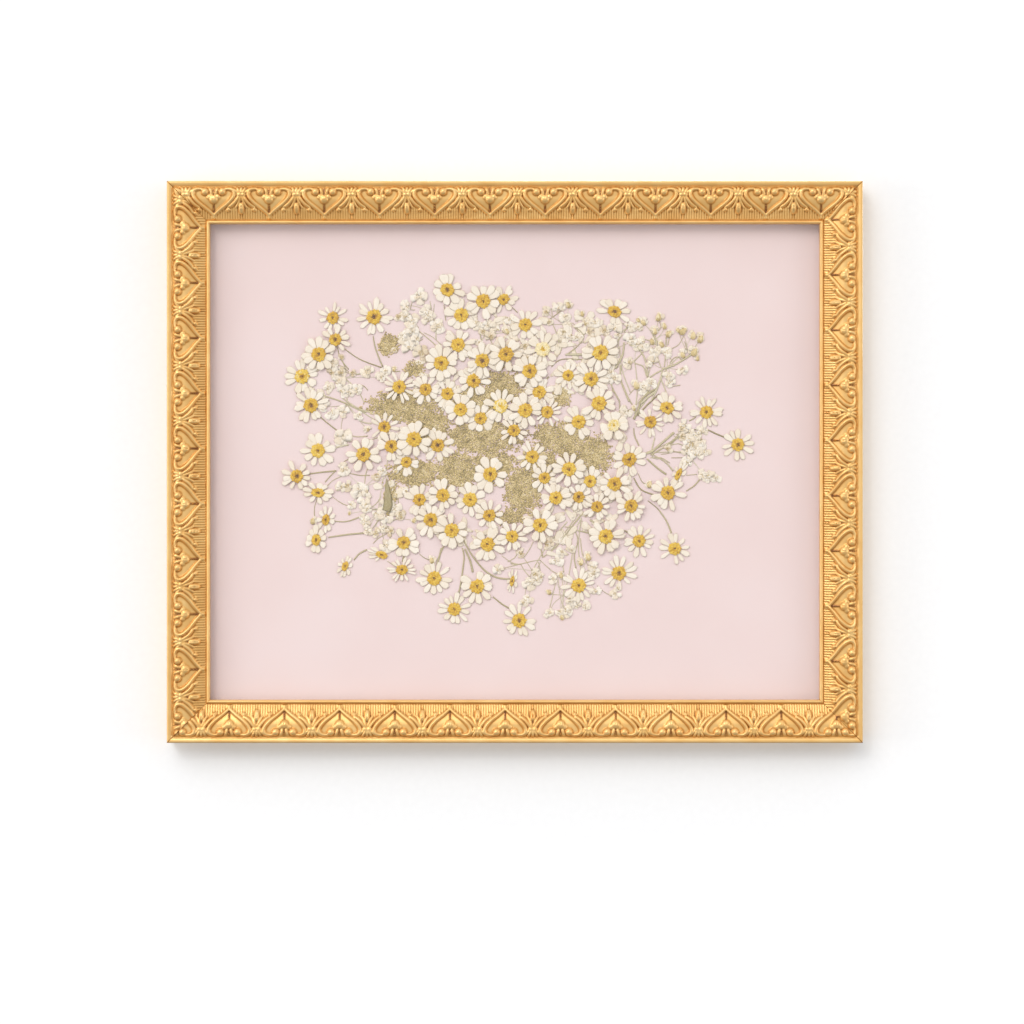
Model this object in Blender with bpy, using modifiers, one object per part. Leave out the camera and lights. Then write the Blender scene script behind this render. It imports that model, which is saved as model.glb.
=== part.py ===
"""Pressed flower picture: a gilt ornamental frame, glazed, holding a pressed posy on pink card.

Metres, +Z up. The picture faces -Y, and the wall is the plane Y = 0. The origin is on the wall,
level with the hanger notch that the wall nail bears in.

Inside the picture, places are given as (across, up) from its centre, and as a height above the
back plane of the frame's wood, which grows towards the viewer.
"""

import math

import bmesh
import bpy
from mathutils import Matrix, Vector

MM = 0.001

# Driving sizes, in millimetres: a ready-made frame for an 11 x 14 inch sheet
GLASS_WIDTH = 355.6
GLASS_HEIGHT = 279.4
SHEET_PLAY = 0.8
MOULDING_WIDTH = 24.6
RABBET_WIDTH = 5.1
RABBET_DEPTH = 12.2
MITRE_GAP = 0.3
GAP = 0.3

# The layers in the rabbet, as heights above the wood's back plane
GLASS_LAYER = (9.9, 11.9)
CARD_LAYER = (5.3, 6.7)
BOARD_LAYER = (2.5, 5.0)
POINT_LAYER = (1.4, 2.2)
SPRAY_LAYER = (7.0, 8.2)
PETAL_LAYER = (8.5, 8.9)
DISC_TOP = 9.5

# The hanger and the bumpers, which meet the wall
STANDOFF = 3.0
HANGER_DROP = 12.0
BUMPER_RADIUS = 5.0
BUMPER_INSET = 10.0

OPENING_WIDTH = GLASS_WIDTH + 2 * SHEET_PLAY
OPENING_HEIGHT = GLASS_HEIGHT + 2 * SHEET_PLAY
RABBET_WALL = MOULDING_WIDTH - RABBET_WIDTH
OUTER_WIDTH = OPENING_WIDTH + 2 * RABBET_WALL
OUTER_HEIGHT = OPENING_HEIGHT + 2 * RABBET_WALL

# The moulding's section: millimetres inward from the outer edge, and height above the back plane
SECTION = (
    (0.0, 0.0),
    (0.0, 14.2),
    (0.6, 15.0),
    (0.6, 16.8),
    (1.5, 17.8),
    (2.8, 17.8),
    (3.6, 16.4),
    (4.6, 17.4),
    (9.0, 18.6),
    (13.0, 18.0),
    (17.0, 16.4),
    (20.6, 14.8),
    (21.4, 14.8),
    (22.2, 15.6),
    (23.2, 15.9),
    (24.2, 15.5),
    (MOULDING_WIDTH, 14.8),
    (MOULDING_WIDTH, RABBET_DEPTH),
    (RABBET_WALL, RABBET_DEPTH),
    (RABBET_WALL, 0.0),
)

# Each spray's outline, (across, up) in millimetres from the picture's centre
SPRAYS = {
    "spray_upper_left": (
        (-122, 85), (-105, 93), (-77, 94), (-68, 85), (-68, 74), (-75, 70.5), (-75, 49),
        (-85, 40), (-93, 33), (-94, 17), (-105, 18), (-112, 21), (-125, 27), (-127, 36),
        (-133, 47), (-131, 57), (-123, 70),
    ),
    "spray_lower_left": (
        (-122, 12.5), (-112, 17), (-94, 13.5), (-75, 15), (-75, -56), (-81, -61), (-93, -67),
        (-102, -65), (-103, -56), (-120, -53), (-122, -42), (-118, -33), (-122, -25),
        (-125, -18), (-135, -15), (-136, -7), (-131, 0), (-123, 2),
    ),
    "spray_centre": (
        (-73.5, 69.5), (-66.5, 73), (-66.5, 85), (-48, 108), (-30, 109), (3, 101), (17, 87),
        (39, 82), (39.5, 35), (48.5, 22), (48.5, -33), (26, -44.5), (-43, -51), (-54, -56),
        (-73.5, -53.5),
    ),
    "spray_right": (
        (41, 75), (46, 89), (57, 98), (71, 92), (77, 82), (106, 76), (107, 64), (100, 40),
        (119, 35), (123, 20.5), (138, 14), (138, 3), (128, -1), (118, 6), (117, -13),
        (102, -29), (94, -39), (102, -49), (100, -59), (83, -59), (60, -56), (52.5, -53.5),
        (51.5, -35), (51, 22), (41, 36.5),
    ),
    "spray_lower": (
        (-73.5, -55), (-54, -57.5), (-42, -52.5), (26, -46), (49.5, -37), (50, -55),
        (71, -60.5), (71, -74), (49, -82), (29, -88), (14, -100), (-8, -101), (-12, -86),
        (-26, -96), (-43, -95), (-45, -81), (-59, -75), (-73.5, -70),
    ),
}

# The flower heads on top of the sprays: (across, up, radius) in millimetres
DAISIES = (
    (-80.5, 83.0, 11.0),
    (-112.0, 61.5, 10.5),
    (-116.5, 32.5, 10.5),
    (-124.5, -8.0, 9.5),
    (-86.5, 4.5, 10.5),
    (-57.5, 13.0, 11.0),
    (-36.0, -39.0, 10.5),
    (-46.0, -66.5, 10.5),
    (-21.5, -71.0, 10.5),
    (2.5, -90.5, 10.5),
    (36.5, -70.5, 10.5),
    (59.5, -63.5, 10.5),
    (71.0, -45.0, 9.5),
    (91.5, -49.5, 9.5),
    (14.5, -36.0, 10.5),
    (-14.0, -7.0, 10.5),
    (31.0, -4.0, 10.5),
    (87.5, -17.5, 10.5),
    (127.5, 10.0, 9.5),
    (109.5, 28.5, 9.5),
    (87.0, 31.0, 10.5),
    (57.0, 86.0, 10.5),
    (49.0, 62.5, 11.5),
    (6.0, 29.5, 10.5),
    (-5.0, 61.5, 11.0),
    (-42.0, 56.5, 11.0),
    (-18.0, 92.0, 10.5),
    (-38.5, 98.5, 10.5),
)
PETALS = 12
DAISY_RADIUS = 10.5
NOTCH_RADIUS = 6.8
DISC_RADIUS = 3.7

# Framer's points: how far along each side from its middle, in millimetres
POINTS_ALONG_WIDTH = (-115.0, 0.0, 115.0)
POINTS_ALONG_HEIGHT = (-70.0, 70.0)

for old in list(bpy.data.objects):
    bpy.data.objects.remove(old, do_unlink=True)


def new_collection(name):
    collection = bpy.data.collections.new(name)
    bpy.context.scene.collection.children.link(collection)
    return collection


model = new_collection("pressed_flower_frame")
cutters = new_collection("cutters")

# The picture's own origin is its centre, on the back plane of the wood
picture = bpy.data.objects.new("picture", None)
picture.location = Vector((0.0, -STANDOFF, HANGER_DROP - OUTER_HEIGHT / 2)) * MM
model.objects.link(picture)

# Turns a drawing in (right, towards the viewer) or (right, up) to the picture's own axes
FACING = Matrix.Rotation(math.radians(90), 4, "X")


def material(name, colour, roughness, metallic=0.0, alpha=1.0):
    made = bpy.data.materials.new(name)
    made.use_nodes = True
    shader = made.node_tree.nodes["Principled BSDF"]
    shader.inputs["Base Color"].default_value = (*colour, 1.0)
    shader.inputs["Roughness"].default_value = roughness
    shader.inputs["Metallic"].default_value = metallic
    shader.inputs["Alpha"].default_value = alpha
    return made


gilt = material("gilt_gesso", (0.67, 0.42, 0.14), 0.35, 0.9)
clear = material("clear_glass", (0.95, 0.97, 0.96), 0.02, 0.0, 0.2)
pink = material("pink_card", (0.80, 0.66, 0.64), 0.9)
fibre = material("brown_hardboard", (0.24, 0.14, 0.07), 0.8)
steel = material("plated_steel", (0.60, 0.60, 0.58), 0.35, 1.0)
rubber = material("clear_rubber", (0.55, 0.55, 0.52), 0.5)
dried = material("dried_sprays", (0.50, 0.44, 0.28), 0.85)
petal = material("dried_petals", (0.86, 0.82, 0.70), 0.7)


def in_picture(name, mesh, finish, place=(0.0, 0.0, 0.0), turn=None):
    """A named piece; place is (across, height above the back plane, up) in millimetres."""
    piece = bpy.data.objects.new(name, mesh)
    mesh.materials.clear()
    mesh.materials.append(finish)
    model.objects.link(piece)
    piece.parent = picture
    across, height, up = place
    move = Matrix.Translation(Vector((across, -height, up)) * MM)
    piece.matrix_local = move @ turn if turn else move
    return piece


def as_cutter(piece):
    """Takes a piece out of the model and keeps it as a cutting shape."""
    model.objects.unlink(piece)
    cutters.objects.link(piece)
    piece.hide_render = True
    piece.display_type = "WIRE"
    return piece


def cut(piece, tool, operation="DIFFERENCE"):
    boolean = piece.modifiers.new(tool.name, "BOOLEAN")
    boolean.operation = operation
    boolean.object = tool
    boolean.solver = "EXACT"


def outline_mesh(name, points, thickness):
    """A flat outline in X and Y, in millimetres, given a thickness along its own Z."""
    curve = bpy.data.curves.new(name, "CURVE")
    curve.dimensions = "2D"
    curve.fill_mode = "BOTH"
    curve.extrude = thickness / 2 * MM
    spline = curve.splines.new("POLY")
    spline.points.add(len(points) - 1)
    for point, (x, y) in zip(spline.points, points):
        point.co = (x * MM, y * MM, 0.0, 1.0)
    spline.use_cyclic_u = True
    maker = bpy.data.objects.new(name, curve)
    model.objects.link(maker)
    made = bpy.data.meshes.new_from_object(evaluated(maker))
    bpy.data.objects.remove(maker, do_unlink=True)
    weld(made)
    return made


def evaluated(piece):
    bpy.context.view_layer.update()
    return piece.evaluated_get(bpy.context.evaluated_depsgraph_get())


def weld(mesh):
    bm = bmesh.new()
    bm.from_mesh(mesh)
    bmesh.ops.remove_doubles(bm, verts=bm.verts, dist=0.01 * MM)
    bmesh.ops.recalc_face_normals(bm, faces=bm.faces)
    bm.to_mesh(mesh)
    bm.free()


def slab_mesh(name, width, height, thickness):
    bm = bmesh.new()
    bmesh.ops.create_cube(bm, size=1.0)
    size = Matrix.Diagonal((width * MM, thickness * MM, height * MM, 1.0))
    bmesh.ops.transform(bm, matrix=size, verts=bm.verts)
    made = bpy.data.meshes.new(name)
    bm.to_mesh(made)
    bm.free()
    return made


def turned(name, profile, finish, segments, place):
    """A profile of (radius, height), from the top down, turned about the line of sight."""
    bm = bmesh.new()
    rim = [bm.verts.new((r * MM, 0.0, h * MM)) for r, h in profile]
    for upper, lower in zip(rim, rim[1:]):
        bm.edges.new((upper, lower))
    mesh = bpy.data.meshes.new(name)
    bm.to_mesh(mesh)
    bm.free()
    piece = in_picture(name, mesh, finish, place, FACING)
    screw = piece.modifiers.new("turn", "SCREW")
    screw.steps = segments
    screw.render_steps = segments
    screw.use_merge_vertices = True
    screw.merge_threshold = 0.01 * MM
    return piece


def layer_middle(layer):
    return (layer[0] + layer[1]) / 2


# --- Rails ------------------------------------------------------------------------------------


def mitred_rail(name, length, quarter_turns):
    """A length of moulding with both ends cut at 45 degrees, outer edge turned to its side."""
    mesh = outline_mesh(name, SECTION, length)
    bm = bmesh.new()
    bm.from_mesh(mesh)
    for end in (-1, 1):
        corner = Vector((0.0, 0.0, end * (length / 2 - MITRE_GAP / 2 * math.sqrt(2)))) * MM
        away = Vector((1.0, 0.0, end))
        everything = [*bm.verts, *bm.edges, *bm.faces]
        found = bmesh.ops.bisect_plane(
            bm, geom=everything, plane_co=corner, plane_no=away, clear_outer=True, dist=1e-7
        )
        rim = [item for item in found["geom_cut"] if isinstance(item, bmesh.types.BMEdge)]
        bmesh.ops.contextual_create(bm, geom=rim)
    bmesh.ops.recalc_face_normals(bm, faces=bm.faces)
    bm.to_mesh(mesh)
    bm.free()
    across = OUTER_HEIGHT if quarter_turns % 2 == 0 else OUTER_WIDTH
    section_to_top = Matrix(((0, 0, -1, 0), (0, -1, 0, 0), (-1, 0, 0, 0), (0, 0, 0, 1)))
    lift = Matrix.Translation(Vector((0.0, 0.0, across / 2)) * MM)
    swing = Matrix.Rotation(math.radians(90 * quarter_turns), 4, "Y")
    return in_picture(name, mesh, gilt, turn=swing @ lift @ section_to_top)


rails = {
    "rail_top": mitred_rail("rail_top", OUTER_WIDTH, 0),
    "rail_right": mitred_rail("rail_right", OUTER_HEIGHT, 1),
    "rail_bottom": mitred_rail("rail_bottom", OUTER_WIDTH, 2),
    "rail_left": mitred_rail("rail_left", OUTER_HEIGHT, 3),
}

# --- Glass, card and backing board ------------------------------------------------------------


def sheet(name, layer, finish):
    mesh = slab_mesh(name, GLASS_WIDTH, GLASS_HEIGHT, layer[1] - layer[0])
    return in_picture(name, mesh, finish, (0.0, layer_middle(layer), 0.0))


sheet("glass_pane", GLASS_LAYER, clear)
sheet("backing_card", CARD_LAYER, pink)
sheet("backing_board", BOARD_LAYER, fibre)

# --- Framer's points: steel tabs pushed into slots in the rabbet wall, over the board ----------

POINT_WIDTH = 6.0
POINT_TAIL = 9.0
POINT_SHOULDER = 2.0
POINT_TIP = 5.0


def point_outline(play):
    """A tab with a pointed end, tip upwards, measured from the rabbet wall."""
    half = POINT_WIDTH / 2 + play
    tail = -POINT_TAIL
    shoulder = POINT_SHOULDER + play
    return ((-half, tail), (half, tail), (half, shoulder), (0, POINT_TIP + play), (-half, shoulder))


def framers_point(name, rail, along, side_turns):
    wide = OPENING_HEIGHT if side_turns % 2 == 0 else OPENING_WIDTH
    swing = Matrix.Rotation(math.radians(90 * side_turns), 4, "Y")
    lift = Matrix.Translation(Vector((along, 0.0, wide / 2)) * MM)
    height = Matrix.Translation(Vector((0.0, -layer_middle(POINT_LAYER), 0.0)) * MM)
    turn = swing @ lift @ height @ FACING
    thickness = POINT_LAYER[1] - POINT_LAYER[0]
    in_picture(name, outline_mesh(name, point_outline(0.0), thickness), steel, turn=turn)
    slot = outline_mesh(f"{name}_slot", point_outline(GAP), thickness + 2 * GAP)
    cut(rail, as_cutter(in_picture(f"{name}_slot", slot, steel, turn=turn)))


for number, along in enumerate(POINTS_ALONG_WIDTH, 1):
    framers_point(f"point_top_{number}", rails["rail_top"], along, 0)
    framers_point(f"point_bottom_{number}", rails["rail_bottom"], along, 2)
for number, along in enumerate(POINTS_ALONG_HEIGHT, 1):
    framers_point(f"point_right_{number}", rails["rail_right"], along, 1)
    framers_point(f"point_left_{number}", rails["rail_left"], along, 3)

# --- V-nails: bent strips pushed in from behind across each mitre --------------------------------

V_ARM = 4.5
V_THICKNESS = 0.8
V_HALF_ANGLE = math.radians(50)
V_FROM_CORNER = 9.0
V_LAYER = (0.3, 7.0)


def v_outline(arm, thickness):
    """A V with its point upwards."""
    outer = thickness / 2 / math.sin(V_HALF_ANGLE)
    sine, cosine = math.sin(V_HALF_ANGLE), math.cos(V_HALF_ANGLE)
    half = thickness / 2
    end_out = (arm * sine + half * cosine, -arm * cosine + half * sine)
    end_in = (arm * sine - half * cosine, -arm * cosine - half * sine)
    right = [(0.0, outer), end_out, end_in]
    left = [(0.0, -outer), (-end_in[0], end_in[1]), (-end_out[0], end_out[1])]
    return right + left


def v_nail(name, horizontal, vertical, corner_rails):
    lean = math.atan2(horizontal, vertical)
    across = horizontal * (OUTER_WIDTH / 2 - V_FROM_CORNER)
    up = vertical * (OUTER_HEIGHT / 2 - V_FROM_CORNER)
    turn = Matrix.Rotation(lean, 4, "Y") @ FACING
    thickness = V_LAYER[1] - V_LAYER[0]
    mesh = outline_mesh(name, v_outline(V_ARM, V_THICKNESS), thickness)
    in_picture(name, mesh, steel, (across, layer_middle(V_LAYER), up), turn)
    # The pocket is deeper than the nail and open at the back
    pocket_name = f"{name}_pocket"
    pocket_thickness = V_LAYER[1] + 2 * GAP + STANDOFF
    pocket = outline_mesh(pocket_name, v_outline(V_ARM + GAP, V_THICKNESS + 2 * GAP), pocket_thickness)
    middle = V_LAYER[1] + GAP - pocket_thickness / 2
    tool = as_cutter(in_picture(pocket_name, pocket, steel, (across, middle, up), turn))
    for rail in corner_rails:
        cut(rail, tool)


for side, horizontal in (("left", -1), ("right", 1)):
    for end, vertical in (("bottom", -1), ("top", 1)):
        pair = (rails[f"rail_{side}"], rails[f"rail_{end}"])
        v_nail(f"v_nail_{end}_{side}", horizontal, vertical, pair)

# --- Sawtooth hanger and its nails ----------------------------------------------------------------

HANGER_PLATE = 0.8
HANGER_HALF = 22.5
TAB_INNER = 16.0
RAISED_HALF = 14.0
HANGER_RISE = 1.2
TOOTH_DEPTH = 1.6
TOOTH_PITCH = 2.4
TEETH = 9
HANGER_TALL = 9.0
NAIL_ACROSS = 19.3
NAIL_SHANK = 0.8
NAIL_HEAD = 2.0
NAIL_HEAD_THICK = 0.7
NAIL_LENGTH = 9.0
HANGER_UP = OUTER_HEIGHT / 2 - HANGER_DROP


def hanger_outline():
    """The bent strip seen from above: X along it, Y towards the wall from the wood."""
    near, far = GAP, GAP + HANGER_PLATE
    rise = HANGER_RISE
    front = [(-HANGER_HALF, near), (-TAB_INNER, near), (-RAISED_HALF, near + rise)]
    front += [(RAISED_HALF, near + rise), (TAB_INNER, near), (HANGER_HALF, near)]
    back = [(HANGER_HALF, far), (TAB_INNER, far), (RAISED_HALF, far + rise)]
    back += [(-RAISED_HALF, far + rise), (-TAB_INNER, far), (-HANGER_HALF, far)]
    return front + back


def teeth_outline():
    """Notches along the lower edge; the middle one ends at the bearing line, up = 0."""
    first = -TEETH * TOOTH_PITCH / 2
    rim = [(first, -TOOTH_DEPTH)]
    for tooth in range(TEETH):
        rim.append((first + (tooth + 0.5) * TOOTH_PITCH, 0.0))
        rim.append((first + (tooth + 1) * TOOTH_PITCH, -TOOTH_DEPTH))
    below = -TOOTH_DEPTH - STANDOFF
    return rim + [(-first, below), (first, below)]


hanger_mesh = outline_mesh("sawtooth_hanger", hanger_outline(), HANGER_TALL)
hanger_place = (0.0, 0.0, HANGER_UP - TOOTH_DEPTH + HANGER_TALL / 2)
hanger = in_picture("sawtooth_hanger", hanger_mesh, steel, hanger_place)
notches = outline_mesh("hanger_notches", teeth_outline(), 2 * STANDOFF + HANGER_PLATE)
cut(hanger, as_cutter(in_picture("hanger_notches", notches, steel, (0.0, -2.0, HANGER_UP), FACING)))

nail_up = HANGER_UP - TOOTH_DEPTH + HANGER_TALL / 2
head_under = -(GAP + HANGER_PLATE + GAP)
for number, across in enumerate((-NAIL_ACROSS, NAIL_ACROSS), 1):
    nail_profile = (
        (0.0, head_under + NAIL_LENGTH),
        (NAIL_SHANK, head_under + NAIL_LENGTH - 2 * NAIL_SHANK),
        (NAIL_SHANK, head_under),
        (NAIL_HEAD, head_under),
        (NAIL_HEAD, head_under - NAIL_HEAD_THICK),
        (0.0, head_under - NAIL_HEAD_THICK),
    )
    turned(f"hanger_nail_{number}", nail_profile, steel, 16, (across, 0.0, nail_up))
    hole_profile = (
        (0.0, head_under + NAIL_LENGTH + GAP),
        (NAIL_SHANK + GAP, head_under + NAIL_LENGTH + GAP),
        (NAIL_SHANK + GAP, -STANDOFF),
        (0.0, -STANDOFF),
    )
    hole = turned(f"hanger_hole_{number}", hole_profile, steel, 16, (across, 0.0, nail_up))
    as_cutter(hole)
    cut(rails["rail_top"], hole)
    cut(hanger, hole)

# --- Wall bumpers: stuck to the lower corners ------------------------------------------------------

BUMPER_EDGE = 0.5
for side, across in (("left", -1), ("right", 1)):
    bumper_profile = (
        (0.0, -GAP),
        (BUMPER_RADIUS, -GAP),
        (BUMPER_RADIUS, -STANDOFF + BUMPER_EDGE),
        (BUMPER_RADIUS - BUMPER_EDGE, -STANDOFF),
        (0.0, -STANDOFF),
    )
    place = (across * (OUTER_WIDTH / 2 - 3 * BUMPER_INSET), 0.0, BUMPER_INSET - OUTER_HEIGHT / 2)
    turned(f"bumper_{side}", bumper_profile, rubber, 24, place)

# --- Pressed sprays: stems, umbels and small florets, each spray one flat closed shape ---------------

for name, outline in SPRAYS.items():
    mesh = outline_mesh(name, outline, SPRAY_LAYER[1] - SPRAY_LAYER[0])
    in_picture(name, mesh, dried, (0.0, layer_middle(SPRAY_LAYER), 0.0), FACING)

# --- Daisy heads: a flat ring of petals with a raised disc ---------------------------------------------


def daisy_outline():
    """Blunt petals: two points at each tip and one at each notch."""
    rim = []
    for number in range(PETALS):
        for share, radius in ((0.25, DAISY_RADIUS), (0.65, DAISY_RADIUS), (0.95, NOTCH_RADIUS)):
            angle = 2 * math.pi * (number + share) / PETALS
            rim.append((radius * math.cos(angle), radius * math.sin(angle)))
    return rim


def daisy_mesh():
    petals_thick = PETAL_LAYER[1] - PETAL_LAYER[0]
    petals = in_picture("daisy_petals", outline_mesh("daisy", daisy_outline(), petals_thick), petal)
    disc_profile = (
        (0.0, DISC_TOP - layer_middle(PETAL_LAYER)),
        (DISC_RADIUS * 0.6, DISC_TOP - layer_middle(PETAL_LAYER)),
        (DISC_RADIUS, PETAL_LAYER[1] - layer_middle(PETAL_LAYER) + 0.1),
        (DISC_RADIUS, 0.0),
        (0.0, 0.0),
    )
    disc = turned("daisy_disc", disc_profile, petal, 12, (0.0, 0.0, 0.0))
    disc.matrix_local = Matrix.Identity(4)
    as_cutter(disc)
    cut(petals, disc, "UNION")
    made = bpy.data.meshes.new_from_object(evaluated(petals))
    bpy.data.objects.remove(petals, do_unlink=True)
    bpy.data.objects.remove(disc, do_unlink=True)
    return made


head_mesh = daisy_mesh()
for number, (across, up, radius) in enumerate(DAISIES, 1):
    size = radius / DAISY_RADIUS
    grow = Matrix.Diagonal((size, size, 1.0, 1.0))
    spin = Matrix.Rotation(math.radians(37 * number), 4, "Z")
    turn = FACING @ spin @ grow
    place = (across, layer_middle(PETAL_LAYER), up)
    in_picture(f"daisy_{number:02d}", head_mesh.copy(), petal, place, turn)
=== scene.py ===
import math
import random

import bpy
import numpy as np
from mathutils import Matrix, Vector


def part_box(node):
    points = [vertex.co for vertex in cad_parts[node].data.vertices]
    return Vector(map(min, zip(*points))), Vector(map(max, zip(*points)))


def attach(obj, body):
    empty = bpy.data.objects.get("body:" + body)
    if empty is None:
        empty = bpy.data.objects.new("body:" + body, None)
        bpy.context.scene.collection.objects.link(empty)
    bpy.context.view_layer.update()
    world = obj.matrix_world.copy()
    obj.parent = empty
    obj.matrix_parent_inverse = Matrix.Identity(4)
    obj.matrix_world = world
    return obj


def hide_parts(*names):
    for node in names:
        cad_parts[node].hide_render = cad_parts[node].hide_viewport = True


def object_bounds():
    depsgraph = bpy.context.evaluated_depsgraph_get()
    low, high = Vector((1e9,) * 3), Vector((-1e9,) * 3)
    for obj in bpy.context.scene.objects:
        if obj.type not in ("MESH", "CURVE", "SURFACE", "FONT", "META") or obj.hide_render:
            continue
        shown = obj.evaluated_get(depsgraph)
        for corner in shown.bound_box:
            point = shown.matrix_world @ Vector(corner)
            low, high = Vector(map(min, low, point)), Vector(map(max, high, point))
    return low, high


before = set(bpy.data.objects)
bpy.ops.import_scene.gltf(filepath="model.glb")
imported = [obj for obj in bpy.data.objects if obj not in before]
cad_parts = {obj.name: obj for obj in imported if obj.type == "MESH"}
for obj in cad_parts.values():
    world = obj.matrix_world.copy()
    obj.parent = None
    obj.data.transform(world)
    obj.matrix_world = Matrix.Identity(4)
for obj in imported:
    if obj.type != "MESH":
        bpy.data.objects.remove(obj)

cad_box = [list(corner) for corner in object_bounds()]
MM = 0.001


# --- Rails --------------------------------------------------------------------------------------
# Four lengths of wood moulding faced with cast composition ornament, a heart and palmette repeat,
# and gilded. The ornament is pressed in a running mould, so the chop at each mitre cuts straight
# through it.

PITCH = 31.4
HALF_PITCH = PITCH / 2
SECTION_WIDTH = 24.6
RABBET_WALL = 19.5
LEDGE = 12.2
WOOD_BACK = -3.0

# The face of the moulding: millimetres in from the outer edge, and height above the wood's back
FACE = (
    (0, 14.2), (0.2, 15.4), (0.4, 16.6), (0.8, 17), (1.5, 17), (2.2, 16.9), (2.9, 16.6), (3.3, 16.2),
    (3.6, 16.1), (4, 16.3), (4.6, 16.7), (5.4, 16.9), (7, 16.9), (9, 16.8), (11, 16.7), (13, 16.3),
    (15, 15.7), (17, 15.1), (19, 14.5), (21, 14), (21.9, 13.8), (22.3, 13.9), (22.6, 14.7), (23, 15.4),
    (23.5, 15.7), (24, 15.6), (24.4, 15.1), (24.6, 14.5),
)

# Ridges of the heart, from its middle line: (along, in from the outer edge), then width and height
HEART_RIDGES = (
    (((0.0, 19.8), (1.8, 18.1), (4.2, 16.1), (8.0, 13.2), (10.7, 10.2), (11.7, 7.8), (11.2, 5.9),
      (9.6, 4.9), (7.6, 4.8), (6.2, 5.2)), 0.95, 1.6),
    (((0.0, 19.6), (0.0, 21.6)), 0.75, 1.2),
    (((1.0, 8.2), (1.5, 6.4), (2.2, 4.6)), 0.7, 0.9),
)
# Beads: (along, in, radius, height)
HEART_BEADS = ((4.9, 6.5, 2.2, 2.0), (0.0, 10.8, 2.5, 1.5), (2.4, 9.4, 1.5, 0.9))
# Ridges of the palmette, from its own middle line
PALMETTE_RIDGES = (
    (((0.3, 8.2), (0.8, 10.8), (1.7, 13.2), (3.0, 15.4)), 0.7, 1.15),
    (((1.0, 8.0), (2.1, 10.2), (3.8, 12.6), (5.7, 14.3), (7.1, 15.1), (7.6, 16.2)), 0.85, 1.5),
    (((0.0, 8.4), (0.0, 3.9)), 0.7, 1.5),
    (((0.8, 8.2), (1.5, 6.0), (2.6, 4.0)), 0.7, 1.45),
    (((1.6, 8.0), (3.0, 6.3), (4.6, 4.9)), 0.65, 1.3),
    (((0.0, 8.1), (2.0, 8.2)), 0.9, 1.5),
)
PALMETTE_DROPS = ((0.0, 16.0, 1.8, 3.4, 2.1), (7.4, 16.6, 1.2, 1.2, 1.4))
RIBS = 11
RIB_HEIGHT = 0.65
# The band that carries the ornament, in from the outer edge
ORNAMENT_FROM = 3.6
ORNAMENT_TO = 22.4


def through(points, steps):
    """A smooth line through the points: Catmull-Rom, steps to a stretch."""
    path = np.array([points[0], *points, points[-1]], float)
    found = []
    for a, b, c, d in zip(path, path[1:], path[2:], path[3:]):
        for step in range(steps):
            t = step / steps
            bend = (2 * a - 5 * b + 4 * c - d) * t**2 + (3 * b - a - 3 * c + d) * t**3
            found.append(0.5 * (2 * b + (c - a) * t + bend))
    return np.array([*found, path[-1]])


def ridge(along, inward, points, width, height):
    """The height of a round-backed ridge over each place, thinning to its ends."""
    line = through(points, 5)
    found = np.zeros_like(along)
    ends = np.linspace(0.0, 1.0, len(line))
    for (x0, y0), (x1, y1), share in zip(line, line[1:], ends):
        dx, dy = x1 - x0, y1 - y0
        reach = ((along - x0) * dx + (inward - y0) * dy) / max(dx * dx + dy * dy, 1e-9)
        reach = np.clip(reach, 0.0, 1.0)
        away = np.hypot(along - x0 - reach * dx, inward - y0 - reach * dy)
        taper = 0.65 + 0.35 * math.sin(math.pi * min(share + 0.08, 1.0))
        bump = np.clip(1 - (away / (width * taper * 1.5)) ** 2, 0, None)
        found = np.maximum(found, height * taper * bump)
    return found


def dome(along, inward, x, y, wide, tall, height):
    away = ((along - x) / wide) ** 2 + ((inward - y) / tall) ** 2
    return height * np.sqrt(np.clip(1 - away, 0, None))


def heart_half_width(inward):
    edge = through(HEART_RIDGES[0][0][:7], 6)
    order = np.argsort(edge[:, 1])
    return np.interp(inward, edge[order, 1], edge[order, 0], left=10.8, right=0.0)


def ornament(along, inward):
    """Relief height of half a repeat, along = 0 on the heart and HALF_PITCH on the palmette."""
    aside = HALF_PITCH - along
    ribs = 0.5 + 0.5 * np.cos(2 * math.pi * RIBS * aside / HALF_PITCH)
    outside = np.clip((along - heart_half_width(inward)) / 0.6, 0, 1)
    reach = np.clip((inward - 14.6) / 2.4, 0.03, 1) * np.clip((ORNAMENT_TO - inward) / 0.5, 0, 1)
    relief = RIB_HEIGHT * ribs * outside * reach
    for points, width, height in HEART_RIDGES:
        relief = np.maximum(relief, ridge(along, inward, points, width, height))
    for x, y, radius, height in HEART_BEADS:
        relief = np.maximum(relief, dome(along, inward, x, y, radius, radius, height))
    for points, width, height in PALMETTE_RIDGES:
        relief = np.maximum(relief, ridge(aside, inward, points, width, height))
    for x, y, wide, tall, height in PALMETTE_DROPS:
        relief = np.maximum(relief, dome(aside, inward, x, y, wide, tall, height))
    return relief


MOULD_STEP = 0.1
mould_along = np.arange(0, HALF_PITCH + MOULD_STEP, MOULD_STEP)
mould_in = np.arange(ORNAMENT_FROM, ORNAMENT_TO, MOULD_STEP)
mould = ornament(*np.meshgrid(mould_along, mould_in, indexing="ij"))


def spread(field, reach):
    """The field averaged over a square of 2 * reach + 1 cells."""
    for axis in (0, 1):
        field = sum(np.roll(field, shift, axis) for shift in range(-reach, reach + 1))
        field = field / (2 * reach + 1)
    return field


mould = spread(mould, 2)
# Darker where the relief sits below its surroundings: the brown toning wash in the hollows, and painted
# shade there as well.
wash_and_shade = np.clip((spread(mould, 9) - mould) / 0.7, 0, 1)


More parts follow.
